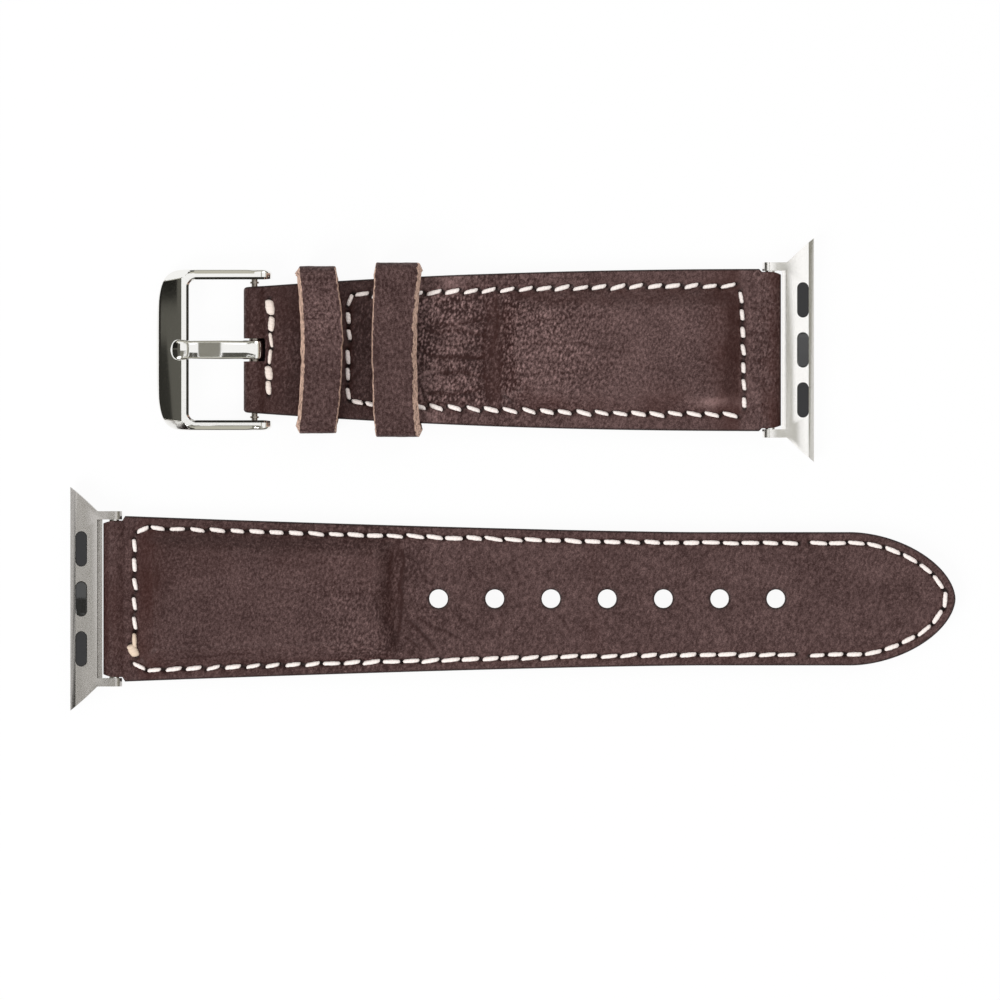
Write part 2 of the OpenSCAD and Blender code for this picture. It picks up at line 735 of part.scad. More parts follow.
function parts(h) = len(cuts(h)) - 1;
function stem(h) = half(h, "long", "short");
function numbered(h, name) = [for (k = [1:parts(h)]) str(stem(h), "_", name, "_", k)];
function lug_names(h) = [for (n = ["adapter", "tube", "screws", "pads", "button", "button_cover",
                                   "button_spring"]) str(stem(h), "_lug_", n)];
function half_names(h) = concat(numbered(h, "upper"), numbered(h, "lining"), numbered(h, "thread"),
                                [str(stem(h), "_filler")], lug_names(h));

for (h = [LONG, SHORT]) place(h) {
    for (k = [1:parts(h)]) {
        upper(h, k - 1);
        lining(h, k - 1);
        thread(h, k - 1);
    }
    filler(h);
    adapter();
    tube();
    screws();
    pads();
    button();
    button_cover();
    button_spring();
}
place(SHORT) keeper(fixed_keeper_back, fixed_keeper_len, fixed_keeper_room, step_up);  // fixed_keeper
place(SHORT) keeper(free_keeper_back, free_keeper_len, free_keeper_room, keeper_base_t);  // free_keeper
place(SHORT) buckle_frame();
place(SHORT) buckle_tongue();
place(SHORT) spring_bar_tube();
place(SHORT) spring_bar_tip(1);  // spring_bar_tip_left
place(SHORT) spring_bar_tip(-1);  // spring_bar_tip_right
place(SHORT) spring_bar_spring();
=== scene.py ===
"""Leather watch strap, laid flat in its two halves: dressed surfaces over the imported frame."""
import math

import bmesh
import bpy
import numpy as np
from bpy.props import FloatProperty, FloatVectorProperty, PointerProperty
from bpy.types import Operator, Panel, PropertyGroup
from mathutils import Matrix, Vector


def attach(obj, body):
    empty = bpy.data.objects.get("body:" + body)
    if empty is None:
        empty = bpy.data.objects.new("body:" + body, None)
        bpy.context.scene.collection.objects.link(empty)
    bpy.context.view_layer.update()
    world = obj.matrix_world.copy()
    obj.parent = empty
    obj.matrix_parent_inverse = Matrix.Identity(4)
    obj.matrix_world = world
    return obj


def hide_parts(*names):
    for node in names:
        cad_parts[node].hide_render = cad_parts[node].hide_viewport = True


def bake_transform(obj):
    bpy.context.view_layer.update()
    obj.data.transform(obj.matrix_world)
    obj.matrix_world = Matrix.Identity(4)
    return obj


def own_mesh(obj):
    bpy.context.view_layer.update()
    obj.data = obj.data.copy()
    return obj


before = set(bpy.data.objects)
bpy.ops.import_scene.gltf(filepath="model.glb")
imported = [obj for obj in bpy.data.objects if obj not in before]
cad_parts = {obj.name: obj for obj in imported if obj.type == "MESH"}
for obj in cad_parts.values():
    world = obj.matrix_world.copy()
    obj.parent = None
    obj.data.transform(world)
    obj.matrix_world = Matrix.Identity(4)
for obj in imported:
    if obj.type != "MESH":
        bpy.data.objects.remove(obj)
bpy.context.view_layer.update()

bl_info = {
    "name": "Leather Watch Strap",
    "version": (1, 0, 0),
    "blender": (4, 5, 0),
    "location": "View3D > Sidebar > Strap",
    "description": "Builds the leather, stitching and metal of a two-piece watch strap",
    "category": "Object",
}

MM = 0.001

# Sizes in millimetres, as in the part's source
STRAP_T = 2.3            # top leather and lining together
UPPER_T = 1.3
LINING_T = 1.0
ROLL_R = 1.5             # radius of the turned ends
BORE_R = 0.78            # bore for the pin in a turned end
FLAP = 4.2               # turned-under leather past its pin
FLAT_U = 0.62            # from its pin to where the leather lies flat
TOP_U = FLAT_U + 0.002   # the first line past a turned end
LUG_W = 22.5             # width at the short half's lug end
ARM_GAP = 10.85          # half the width between an adapter's arms
TIP_U = 116.7            # the long half's point, from its lug pin
TIP_LEN = 14.5
TIP_NEAR = 97.0          # from here on the edge is the line of the point
TAIL_W = 18.5
HOLES = 45 + 7.8 * np.arange(7)
HOLE_R = 1.3
CREASE_U = 38.4          # the short half climbs from here to pass over its keepers
CREASE_LEN = 4.6
STEP_UP = 0.95
BAR_U = 71.5             # the spring bar, from the short half's lug pin
SLOT_U = 70.1            # the tongue slot's end
SLOT_HALF = 1.6
SEAM_END = 58.5          # the short half's seam ends here
TACK_U = 67.0            # and its tack row starts past here
BUCKLE = (-35.825, 17.25, 2.45)


def srgb(r, g, b):
    """An on-screen colour of 0 to 255 as the linear colour that a socket holds."""
    return tuple(c / 12.92 if c <= 0.04045 else ((c + 0.055) / 1.055) ** 2.4
                 for c in (r / 255, g / 255, b / 255))


def length(name, description, default):
    return FloatProperty(name=name, description=description, default=default * MM,
                         min=0, precision=5, unit="LENGTH", subtype="DISTANCE")


def colour(name, description, *rgb):
    return FloatVectorProperty(name=name, description=description, default=srgb(*rgb),
                               size=3, min=0, max=1, subtype="COLOR")


class StrapSizes(PropertyGroup):
    """Sizes of the strap that may be changed"""

    pad_rise: length("Padding height", "How far the padding lifts the top leather", 1.9)
    edge_round: length("Edge rounding", "Radius of the top leather's rounded edge", 0.42)
    grid_step: length("Leather grid", "Distance between the points of the leather surface", 0.19)
    groove: length("Stitch groove", "Depth to which the stitching pulls the leather in", 0.17)
    thread_w: length("Thread width", "Width of the sewing thread", 0.6)
    grain: length("Grain depth", "Height of the leather's fine grain", 0.08)
    metal_bevel: length("Adapter bevel", "Width of the broken edges of the adapters", 0.07)


class StrapColours(PropertyGroup):
    """Colours of the strap"""

    leather_dark: colour("Dark leather", "Dark end of the leather's colour", 46, 23, 21)
    leather_light: colour("Light leather", "Light end of the leather's colour", 150, 120, 117)
    # Burnish is also laid in folds, the stitch groove, the valley past the padding and between the
    # keepers as painted shade.
    burnish: colour("Burnish", "Reddish brown where the leather is bent or rubbed", 62, 29, 23)
    # Painted shade: the brown of the needle holes, the strap holes and the slot floor under the
    # tongue; the lining's pores take it too.
    shade: colour("Needle holes", "Deep brown in needle holes and folds", 20, 11, 10)
    edge_paint: colour("Edge paint", "Painted edge of the leather", 40, 27, 26)
    raw_edge: colour("Raw edge", "Cut edge of the keepers", 226, 190, 170)
    lining: colour("Lining", "Leather on the wrist side", 128, 88, 66)
    thread: colour("Thread", "Sewing thread", 255, 245, 240)
    steel: colour("Steel", "Polished buckle", 244, 243, 240)
    # The two adapters are one satin steel: the long half's copy is painted darker, a painted shade,
    # and the short half's lighter, a painted light.
    satin: colour("Satin steel", "Brushed adapter of the long half", 196, 192, 188)
    bright: colour("Bright satin steel", "Brushed adapter of the short half", 255, 253, 250)
    rubber: colour("Rubber", "Pads in the adapters' slots", 30, 30, 32)
    card: colour("Reflected card", "Dark card that only the metal's reflections see", 66, 65, 60)
    floor: colour("Floor", "Plain floor", 250, 250, 250)


def size(name):
    return getattr(bpy.context.scene.strap_sizes, name) / MM


def paint(name):
    return (*getattr(bpy.context.scene.strap_colours, name), 1)


# Plain functions of arrays

def clamp(t):
    return np.clip(t, 0, 1)


def ease(t):
    """0 below 0, 1 above 1, and 3t^2 - 2t^3 between."""
    t = clamp(t)
    return t * t * (3 - 2 * t)


def bell(d, width):
    return np.exp(-(d / width) ** 2)


def rounding(t):
    """How far a rounded edge has fallen: 1 at the edge, by a quarter circle to 0 where t is 1."""
    return 1 - np.sqrt(1 - (1 - clamp(t)) ** 2)


def smooth_max(a, b, k):
    """The larger of two heights, with a fillet of size k where they meet."""
    h = clamp(1 - abs(a - b) / k)
    return np.maximum(a, b) + h * h * k / 4


def lattice(x, y, cell, seed):
    """Random heights from -1 to 1 on a square lattice, joined by the ease curve."""
    count = 128
    table = np.random.default_rng(seed).uniform(-1, 1, (count, count))
    px, py = np.asarray(x) / cell, np.asarray(y) / cell
    ix, iy = np.floor(px).astype(int), np.floor(py).astype(int)
    fx, fy = ease(px - ix), ease(py - iy)
    near, far = (table[ix % count, (iy + b) % count] * (1 - fx)
                 + table[(ix + 1) % count, (iy + b) % count] * fx for b in (0, 1))
    return near * (1 - fy) + far * fy


def rough(x, y, cell, seed, octaves=3):
    """A sum of lattices, each half as wide and half as high as the one before."""
    return sum(lattice(x, y, cell / 2 ** k, seed + k) / 2 ** k for k in range(octaves))


def pebbles(x, y, cell, seed):
    """Domes between scattered points: the difference of the two smallest distances, 0 in the
    furrows and 1 on top."""
    count = 64
    shift = np.random.default_rng(seed).uniform(0.1, 0.9, (count, count, 2))
    px, py = x / cell, y / cell
    ix, iy = np.floor(px).astype(int), np.floor(py).astype(int)
    near = []
    for a, b in np.ndindex(3, 3):
        nx, ny = ix + a - 1, iy + b - 1
        jitter = shift[nx % count, ny % count]
        near.append(np.hypot(nx + jitter[..., 0] - px, ny + jitter[..., 1] - py))
    near = np.sort(np.stack(near), axis=0)
    return clamp((near[1] - near[0]) * 2.2)


def off_line(x, y, line):
    """Distance from each point to the nearest stretch of a line of points."""
    p = np.stack([x, y], -1)[..., None, :]
    a, ab = line[:-1], line[1:] - line[:-1]
    t = clamp(((p - a) * ab).sum(-1) / (ab ** 2).sum(-1))
    gap = p - a - t[..., None] * ab
    return np.hypot(gap[..., 0], gap[..., 1]).min(-1)


def run_along(line):
    """Distance along a line of points, at each of them."""
    return np.concatenate([[0], np.cumsum(np.hypot(*np.diff(line, axis=0).T))])


def on_line(line, at):
    """The places at given distances along a line of points."""
    run = run_along(line)
    return np.stack([np.interp(at, run, line[:, k]) for k in (0, 1)], -1)


def corner(dx, dy, r):
    """Distance inside a rectangle with corners of radius r, from the distances to its sides."""
    curved = r - np.hypot(np.minimum(dx, r) - r, np.minimum(dy, r) - r)
    return np.where((dx < r) & (dy < r), curved, np.minimum(dx, dy))


# The two halves, each in its own u (from the lug pin) and y (across)

class Half:
    """One half of the strap: where it lies, its outline and its stitch line."""

    def __init__(self, name, pin, turn, inset, cross, pad_end, seed):
        self.name, self.pin, self.turn = name, pin, turn
        self.inset, self.cross, self.pad_end, self.seed = inset, cross, pad_end, seed
        self.short = name == "short"

    def world(self, u, y, z):
        """Points in metres: the half's own coordinates, turned about its lug pin."""
        u, y, z = np.broadcast_arrays(u, y, z)
        return np.stack([self.pin[0] + self.turn * u, self.pin[1] + self.turn * y, z], -1) * MM

    def full_width(self, u):
        """Half the width: a power curve from the lug end, and a rounded point on the long half."""
        if self.short:
            return (LUG_W - 5.2 * (1 - clamp((BAR_U + ROLL_R - u) / 74.5)) ** 2.2) / 2
        side = (TAIL_W + 4.7 * (1 - clamp((u + ROLL_R) / 82.5)) ** 1.35) / 2
        return np.where(u <= TIP_U - TIP_LEN, side, tip_width(u, 0))

    def width(self, u):
        """Half the width, drawn in between the adapter's arms."""
        full = self.full_width(u)
        if self.short:
            full = full - 0.45 * rounding((BAR_U + ROLL_R - u) / 0.5)
        between = ARM_GAP - 0.4 * clamp((0.3 - u) / 1.8) ** 2
        return between + (full - between) * ease((u - 1.2) / 0.3)

    def margin(self, u, y):
        """Distance in from the leather's edge."""
        return self.past_near(u, y, self.full_width(u) - abs(y), 0)

    def past_near(self, u, y, value, inset):
        """A value, and near the long half's point the distance to its line instead."""
        if self.short or np.max(u) < TIP_NEAR:
            return value
        return np.where(u < TIP_NEAR, value, off_line(u, abs(y), tip_line(inset)))

    def stitch_gap(self, u, y):
        """Distance to the stitch line: a rounded rectangle, or round the tip."""
        inner = self.margin(u, y) - self.inset
        if self.short:
            return abs(corner(np.minimum(u - self.cross, SEAM_END - u), inner, 1.3))
        return self.past_near(u, y, abs(corner(u - self.cross, inner, 1.7)), self.inset)

    def sewn(self, u):
        """1 along the seam, 0 past its end on the short half."""
        return ease((61 - u) / 2) if self.short else 1

    def rise(self, u):
        """Height of the underside above the floor."""
        return STEP_UP * ease((u - CREASE_U + 0.4) / (CREASE_LEN + 0.8)) if self.short else 0 * u


def tip_width(u, d):
    """The rounded point, drawn in by d: a superellipse from its start to its end."""
    s = clamp((TIP_U - d - u) / (TIP_LEN - d))
    return (TAIL_W / 2 - d) * (1 - (1 - s) ** 1.8) ** 0.56


def tip_line(d):
    """One side of the point as a line of points, closest together at the end."""
    u = TIP_U - d - (TIP_LEN - d) * (1 - np.cos(np.linspace(math.pi / 2, 0, 60)))
    return np.concatenate([[[90, TAIL_W / 2 - d]], np.stack([u, tip_width(u, d)], -1)])


LONG = Half("long", (-55.325, -17.25), 1, 1.5, 2.9, 38.6, 11)
SHORT = Half("short", (35.675, 17.25), -1, 2.3, 3.8, 37.0, 29)

# Folds in the leather: u, y at each end, sideways bow, depth
SHORT.folds = np.array([
    [38.5, -8.4, 38.9, 1.4, 0.7, 0.10], [39.3, -3.8, 38.7, 8.2, -0.6, 0.12],
    [37.8, -1.8, 38.0, 6.2, 0.4, 0.07], [39.8, -7.0, 39.4, -2.2, 0.3, 0.08],
    [38.8, -4.6, 47.5, -3.6, 0.5, 0.15], [38.9, -1.7, 48.5, -2.6, -0.5, 0.16],
    [39.0, 0.9, 49.0, 0.1, 0.6, 0.18], [39.0, 3.9, 46.5, 3.4, -0.4, 0.15],
    [39.3, 5.4, 49.0, 5.8, 0.4, 0.15], [40.5, -7.2, 47.0, -6.6, 0.2, 0.09],
    [41.0, 7.2, 46.5, 7.4, -0.2, 0.08], [36.5, -0.9, 17.5, 0.8, 0.7, 0.085],
    [36.8, 3.1, 22.0, 2.3, -0.6, 0.07], [35.0, -3.6, 22.0, -4.6, 0.4, 0.07],
    [33.0, 1.6, 12.0, 3.4, 0.4, 0.05], [36.6, 5.6, 27.0, 6.4, 0.3, 0.06],
    [0.6, -6.2, 2.7, -5.4, 0.2, 0.08], [0.9, -2.4, 2.9, -1.9, -0.2, 0.09],
    [0.4, 0.8, 2.8, 1.6, 0.3, 0.08], [0.9, 4.4, 3.0, 4.0, -0.2, 0.10],
    [0.5, 7.2, 2.8, 7.9, 0.2, 0.08], [55.6, -5.0, 58.2, -3.0, 0.2, 0.08],
    [56.0, 1.5, 58.2, 4.0, 0.3, 0.08], [59.0, -4.0, 66.0, -4.8, 0.4, 0.05],
])
LONG.folds = np.array([
    [39.9, 7.4, 39.4, 0.2, 0.5, 0.10], [39.5, 2.4, 38.9, -7.2, 0.6, 0.09],
    [38.4, 6.0, 38.2, 1.0, -0.3, 0.06],
    [40.4, -2.8, 45.2, -7.6, 0.3, 0.10], [41.6, -2.0, 48.0, -5.6, -0.3, 0.07],
    [40.2, -5.2, 42.6, -7.2, 0.2, 0.08], [46.2, -1.6, 50.0, -4.4, 0.2, 0.05],
    [42.4, 3.2, 44.8, 0.8, 0.2, 0.04], [53.6, -1.6, 53.2, -5.2, 0.2, 0.05],
    [52.0, 1.8, 49.0, 4.2, 0.2, 0.04], [60.8, -1.8, 63.4, -5.0, 0.2, 0.05],
    [56.6, 1.6, 54.8, 4.8, -0.2, 0.035], [66.0, 6.2, 66.4, -5.0, 0.5, 0.03],
    [36.0, 1.0, 18.0, 2.2, 0.6, 0.03], [34.0, -5.6, 24.0, -6.2, -0.3, 0.03],
    [31.0, 5.0, 16.0, 5.6, 0.3, 0.025], [9.0, -8.2, 20.0, -7.6, 0.2, 0.05],
    [5.4, 6.8, 6.2, 1.0, 0.3, 0.05],
])


def folds(half, u, y):
    """Furrows along bowed lines: a bell across each, fading out at both ends."""
    depth = np.zeros(np.shape(u))
    for u0, y0, u1, y1, bow, deep in half.folds:
        du, dy = u1 - u0, y1 - y0
        whole = np.hypot(du, dy)
        along = ((u - u0) * du + (y - y0) * dy) / whole ** 2
        wander = bow * np.sin(math.pi * clamp(along)) + 0.1 * lattice(u, y, 1.0, int(u0 * 7))
        wander = wander + 0.26 * lattice(u, y, 2.7, int(u0 * 5))
        across = ((y - y0) * du - (u - u0) * dy) / whole - wander
        fade = ease((along + 0.06) / 0.25) * ease((1.06 - along) / 0.25)
        depth += deep * fade * bell(across, 0.14 + 0.9 * deep)
    return depth


UPRIGHT = math.pi / 2    # the angle of a stitch that lies across the strap
TIP_ROW = 96.4           # the row round the tip starts here


def stitch(u, y, angle, long=2.0, wide=1.0, tint=0.0):
    """Rows of u, y, angle, length, width and tint."""
    columns = np.broadcast_arrays(u, y, angle, long, wide, tint)
    return np.stack(columns, -1).reshape(-1, 6).astype(float)


def loosened(rows, seed, swing, stretch):
    """Stitches as a hand-fed machine leaves them: small random turns, shifts and lengths."""
    random = np.random.default_rng(seed)
    count = len(rows)
    rows = rows.copy()
    rows[:, 0] += random.normal(0, 0.04, count)
    rows[:, 1] += random.normal(0, 0.035, count)
    rows[:, 2] += np.radians(random.normal(0, swing, count))
    rows[:, 3] *= 1 + random.uniform(-stretch, stretch, count)
    rows[:, 4] *= 1 + random.uniform(-0.09, 0.09, count)
    return rows


def along_edge(half, u, side, slant):
    """A row beside one edge: on the stitch line, turned by the edge's slope and a slant."""
    y = half.full_width(u) - half.inset
    slope = half.full_width(u + 0.5) - half.full_width(u - 0.5)
    return u, side * y, np.arctan(side * slope) + np.radians(slant)


def long_stitches():
    """Two rows with the holes between them, a row across the lug end, and the row round the tip."""
    at = 2.74 * np.arange(33)
    longer = 1.95 + 0.35 * ease((at - 18) / 12)
    side = tip_line(LONG.inset)
    side = np.concatenate([[[TIP_ROW, side[0, 1]]], side[side[:, 0] > TIP_ROW]])
    line = np.concatenate([side, side[-2::-1] * [1, -1]])
    round_tip = np.linspace(1.3, run_along(line)[-1] - 1.1, 17)
    here = on_line(line, round_tip)
    ahead = on_line(line, round_tip + 0.4) - here
    rows = [stitch(*along_edge(LONG, 6.1 + at, 1, -3.5), longer),
            stitch(*along_edge(LONG, 5.6 + at, -1, 4.5), longer + 0.05),
            stitch(here[:, 0], here[:, 1], np.arctan2(ahead[:, 1], ahead[:, 0]), 2.15),
            stitch(LONG.cross, 7.4 - 2.69 * np.arange(5), -UPRIGHT + 0.14, 1.85, 0.95),
            stitch([4.0, 3.5], [9.6, -9.4], [0.42, -0.5], 1.75),
            stitch([2.85, 2.6], [-5.95, -7.15], [UPRIGHT, -UPRIGHT + 0.5], [2.0, 1.7],
                   [1.1, 1.9], 0.8)]
    return loosened(np.concatenate(rows), 5, 2.4, 0.09)


def short_stitches():
    """Two rows, a row across each end of them, and the thick tack row at the buckle."""
    at = 5.9 + 2.545 * np.arange(20)
    rows = [stitch(*along_edge(SHORT, at, -1, 9.5), 1.98),
            stitch(*along_edge(SHORT, at - 0.35, 1, -11), 1.98),
            stitch(SHORT.cross + 0.03 * np.linspace(7.2, -7.2, 7), np.linspace(-7.3, 7.3, 7),
                   -UPRIGHT + 0.1, 1.5),
            stitch([58.45, 58.4, 58.55, 58.6, 58.5], [-4.4, -2.1, 1.0, 3.4, 6.0], UPRIGHT + 0.06,
                   [1.6, 1.45, 1.9, 1.7, 1.6]),
            stitch([58.3, 56.6, 57.15, 55.45], [-6.9, -7.7, 7.25, 7.5],
                   [1.2, 0.14, -0.16, -0.12], [1.6, 1.9, 1.5, 1.2])]
    tack = stitch([69.35, 69.15, 69.2, 69.35, 69.5, 69.55], [-5.9, -3.6, -1.35, 0.95, 3.2, 5.25],
                  UPRIGHT + np.array([0.12, -0.1, 0.14, -0.12, 0.1, 0.06]),
                  [2.1, 2.0, 2.0, 2.0, 1.9, 1.9], [2.1, 1.5, 0.8, 0.85, 1.8, 1.3], 0.3)
    return np.concatenate([loosened(np.concatenate(rows), 8, 2.6, 0.06), tack])


LONG.stitches, SHORT.stitches = long_stitches(), short_stitches()


def pits(half, u, y, width):
    """A bell at each needle hole, which lie a little past both ends of every stitch."""
    at, angle, long = half.stitches[:, :2], half.stitches[:, 2], half.stitches[:, 3]
    reach = long / 2 + 0.13
    step = np.stack([np.cos(angle) * reach, np.sin(angle) * reach], -1)
    holes = np.concatenate([at - step, at + step])
    holes = holes[(holes[:, 0] > np.min(u) - 1) & (holes[:, 0] < np.max(u) + 1)]
    total = np.zeros(np.shape(u))
    for part in np.array_split(holes, max(1, len(holes) // 12)):
        d2 = (u[..., None] - part[:, 0]) ** 2 + (y[..., None] - part[:, 1]) ** 2
        total += np.exp(-d2 / width ** 2).sum(-1)
    return clamp(total)


def to_hole(u):
    """Distance along the strap to the nearest hole's centre."""
    return abs(u[..., None] - HOLES).min(-1)


def hole_edge(u, y, fade):
    """1 at the edge of a strap hole and inside it, fading out round it."""
    return np.exp(-np.maximum(np.hypot(to_hole(u), y) - HOLE_R, 0) / fade)


def roll(u, centre, z):
    """Top of a turned end: a half circle about its pin."""
    return z + np.sqrt(np.maximum(ROLL_R ** 2 - (u - centre) ** 2, 0))


def pad_form(half, u, y):
    """The padding's height, 0 to 1: a quarter sine up from the stitch line, and a longer one
    down at its far end."""
    drift = 0.3 * lattice(u, y, 4.6, half.seed + 20) + 0.14 * lattice(u, y, 1.9, half.seed + 21)
    e = corner(u - half.cross - 0.9, half.margin(u, y) - half.inset - 0.9, 2.2) + 0.6 * drift
    side = np.sin(math.pi / 2 * clamp((e + 0.5) / 2.9)) ** 1.35
    end = np.sin(math.pi / 2 * clamp((half.pad_end + 0.3 + 1.6 * drift - u) / 3.1)) ** 1.3
    return side * end


def quiet_top(half, u, y):
    """Top of the leather without its stitching: strap thickness, the turned ends and padding."""
    z = STRAP_T + half.rise(u)
    z = np.where(u < 3, smooth_max(z, roll(u, 0, ROLL_R), 0.6), z)
    if half.short:
        z = np.where(u > 68, smooth_max(z, roll(u, BAR_U, STEP_UP + ROLL_R), 0.6), z)
    return z + size("pad_rise") * pad_form(half, u, y)


def wrinkled(half, u, y):
    """Where the leather is wrinkled: 1 in the crease past the padding, less at the ends."""
    patchy = 0.75 + 0.5 * rough(u, y, 4.2, half.seed + 30, 2)
    if half.short:
        return (ease((u - 34) / 4.5) * ease((50 - u) / 5) + 0.4 * ease((4 - u) / 2)
                + 0.35 * ease((u - 55) / 2)) * patchy
    return (0.45 * bell(u - 41.5, 4) * ease((3 - y) / 5) + 0.25 * ease((3.5 - u) / 2)) * patchy


def grained(half, u, y):
    """How strong the grain's speckle is, from smooth 0 to pebbled 1."""
    patchy = 0.5 + 0.5 * rough(u, y, 3.4, half.seed + 33, 2)
    if half.short:
        pad = 0.2 + 0.5 * ease((u - 18) / 14) * (0.5 + 0.7 * patchy)
        crease = 0.42 * ease((u - 33) / 3) * (0.3 + patchy)
        inner = 0.4 + 0.6 * ease((half.margin(u, y) - half.inset) / 1.2)
        quiet = (1 - 0.75 * ease((u - 52) / 4)) * (1 - 0.45 * bell(u - 38.3, 1.2))
        quiet = quiet * (1 - 0.5 * (bell(y - 6.5, 1.5) + bell(y + 7.6, 1.0)) * ease((37.5 - u) / 2))
        return (pad + crease) * quiet * inner + 0.2 * ease((3.5 - u) / 2)
    return 0.1 + 0.3 * bell(u - 34, 8) * patchy + 0.12 * bell(u - 44, 6) * patchy


def top(half, u, y):
    """Top of the leather: quiet form, stitch groove, needle holes, folds, pebbled grain and
    the rounded edge."""
    z = quiet_top(half, u, y)
    z = z - size("groove") * bell(half.stitch_gap(u, y), 0.55) * half.sewn(u)
    z = z - 0.32 * pits(half, u, y, 0.25) - folds(half, u, y)
    grain = (0.1 * (pebbles(u * 0.75 + 0.3 * y, y, 0.66, half.seed) - 0.5)
             + 0.09 * rough(u, 1.5 * y, 1.9, half.seed + 3))
    z = z + wrinkled(half, u, y) * grain + 0.05 * rough(u, y * 1.3, 7, half.seed + 5, 2)
    z = z + 0.008 * rough(u, y, 0.7, half.seed + 9, 2)
    if not half.short:
        z = z - 0.14 * hole_edge(u, y, 0.14)
    r = size("edge_round")
    return z - r * rounding(np.minimum(half.margin(u, y), half.width(u) - abs(y)) / r)


# Grids

def lines_across(reach, step, whole):
    """Lines across a half: evenly spaced, with one at each multiple of `whole`, and closer
    together towards the edges."""
    fine = np.array([0.62, 0.47, 0.35, 0.25, 0.17, 0.1, 0.05, 0.02, 0])
    if step > 0.3:
        fine = np.array([0.5, 0.2, 0.06, 0])
    step = whole / round(whole / step)
    inner = np.arange(0, reach - fine[0] - step * 0.4, step)
    side = np.concatenate([inner, reach - fine])
    return np.concatenate([-side[:0:-1], side])


def line_along(half, u0, u1, step, straight, bent):
    """Places along a piece: even steps, whole steps between hole edges on the long half, and
    closer together towards its point."""
    if u1 == TIP_U:
        bend = TIP_LEN * (1 - np.cos(np.linspace(math.pi / 2, 0, bent)))
        return np.concatenate([np.linspace(u0, TIP_U - TIP_LEN, straight)[:-1], TIP_U - bend])
    marks = np.array([u0, u1])
    if not half.short:
        marks = np.unique(np.concatenate([marks, HOLES - HOLE_R, HOLES + HOLE_R]))
    marks = marks[(marks >= u0) & (marks <= u1)]
    fewest = 1 if half.short else 2
    runs = [np.linspace(a, b, max(fewest, round((b - a) / step)) + 1)[:-1]
            for a, b in zip(marks[:-1], marks[1:])]
    return np.concatenate(runs + [[u1]])


def grid_over(half, line, step, reach, tip):
    """u and y of a grid's points, and its lines across: those near the middle stay, and the
    outermost are carried to the real width. Round the point all are scaled."""
    s = lines_across(reach, step, SLOT_HALF if half.short else HOLE_R)
    u, wide = np.repeat(line[:, None], len(s), 1), half.width(line)[:, None]
    if tip:
        return u, s / reach * wide, s
    steady = 3
    grow = (wide - reach) * ease((abs(s) - steady) / (reach - steady))
    return u, np.sign(s) * (abs(s) + grow), s


def round_holes(u, y):
    """Pull the grid's squares round each hole into circles: each point moves out or in so that
    its square distance becomes its round distance, fading out away from the hole."""
    a = u - HOLES[abs(u[..., None] - HOLES).argmin(-1)]
    square, far, tiny = np.maximum(abs(a), abs(y)), 3.4, 1e-6
    pull = square / np.maximum(np.hypot(a, y), tiny) - 1
    pull = np.where(square < tiny, 0, pull * ease((far - square) / (far - HOLE_R)))
    return u + a * pull, y + y * pull


def hole_mask(u, y):
    """Cells of the grid, before it is pulled round, that lie in a hole."""
    uc, yc = (u[:-1, :-1] + u[1:, 1:]) / 2, (y[:-1, :-1] + y[1:, 1:]) / 2
    return (to_hole(uc) < HOLE_R) & (abs(yc) < HOLE_R)


def slab(outer, inner, keep=None, closed=False):
    """Faces of two sheets over one grid, with a wall along every free edge between them."""
    rows, columns = outer.shape[:2]
    index = np.arange(rows * columns).reshape(rows, columns)
    if closed:
        index = np.concatenate([index, index[:1]])
    quads = np.stack([index[:-1, :-1], index[1:, :-1], index[1:, 1:], index[:-1, 1:]], -1)
    quads = quads.reshape(-1, 4) if keep is None else quads[keep]
    count = rows * columns
    edges = np.concatenate([quads[:, [k, (k + 1) % 4]] for k in range(4)])
    free = edges[~np.isin(edges[:, 0] * count + edges[:, 1], edges[:, 1] * count + edges[:, 0])]
    walls = np.stack([free[:, 1], free[:, 0], free[:, 0] + count, free[:, 1] + count], -1)
    points = np.concatenate([outer.reshape(-1, 3), inner.reshape(-1, 3)])
    return points, np.concatenate([quads, quads[:, ::-1] + count, walls])


def two_sheets(outer, inner):
    """Values for the points of a slab's outer sheet, and one value for those of its inner."""
    return np.concatenate([np.ravel(outer), np.full(np.size(outer), inner)])


def flat_place(u, y, z, drop):
    """Where a pattern is read at each point of a slab: its place as the strap lies, in mm."""
    place = np.stack([np.ravel(a) for a in np.broadcast_arrays(u, y, z)], -1)
    return np.concatenate([place, place - [0, 0, drop]])


def placed(name, data):
    """A new object at the origin, in the scene."""
    obj = bpy.data.objects.new(name, data)
    bpy.context.scene.collection.objects.link(obj)
    return obj


def reshape(mesh, near, edit=None):
    """Merge a mesh's points that are this near to each other, and change it by a function."""
    shape = bmesh.new()
    shape.from_mesh(mesh)
    bmesh.ops.remove_doubles(shape, verts=shape.verts, dist=near)
    if edit:
        edit(shape)
    shape.to_mesh(mesh)
    shape.free()


def give(mesh, name, values):
    """Store a number or a vector for each point of the mesh."""
    values = np.asarray(values, np.float32)
    kind = "FLOAT_VECTOR" if values.ndim > 1 else "FLOAT"
    layer = mesh.attributes.new(name, kind, "POINT")
    layer.data.foreach_set("vector" if values.ndim > 1 else "value", values.ravel())


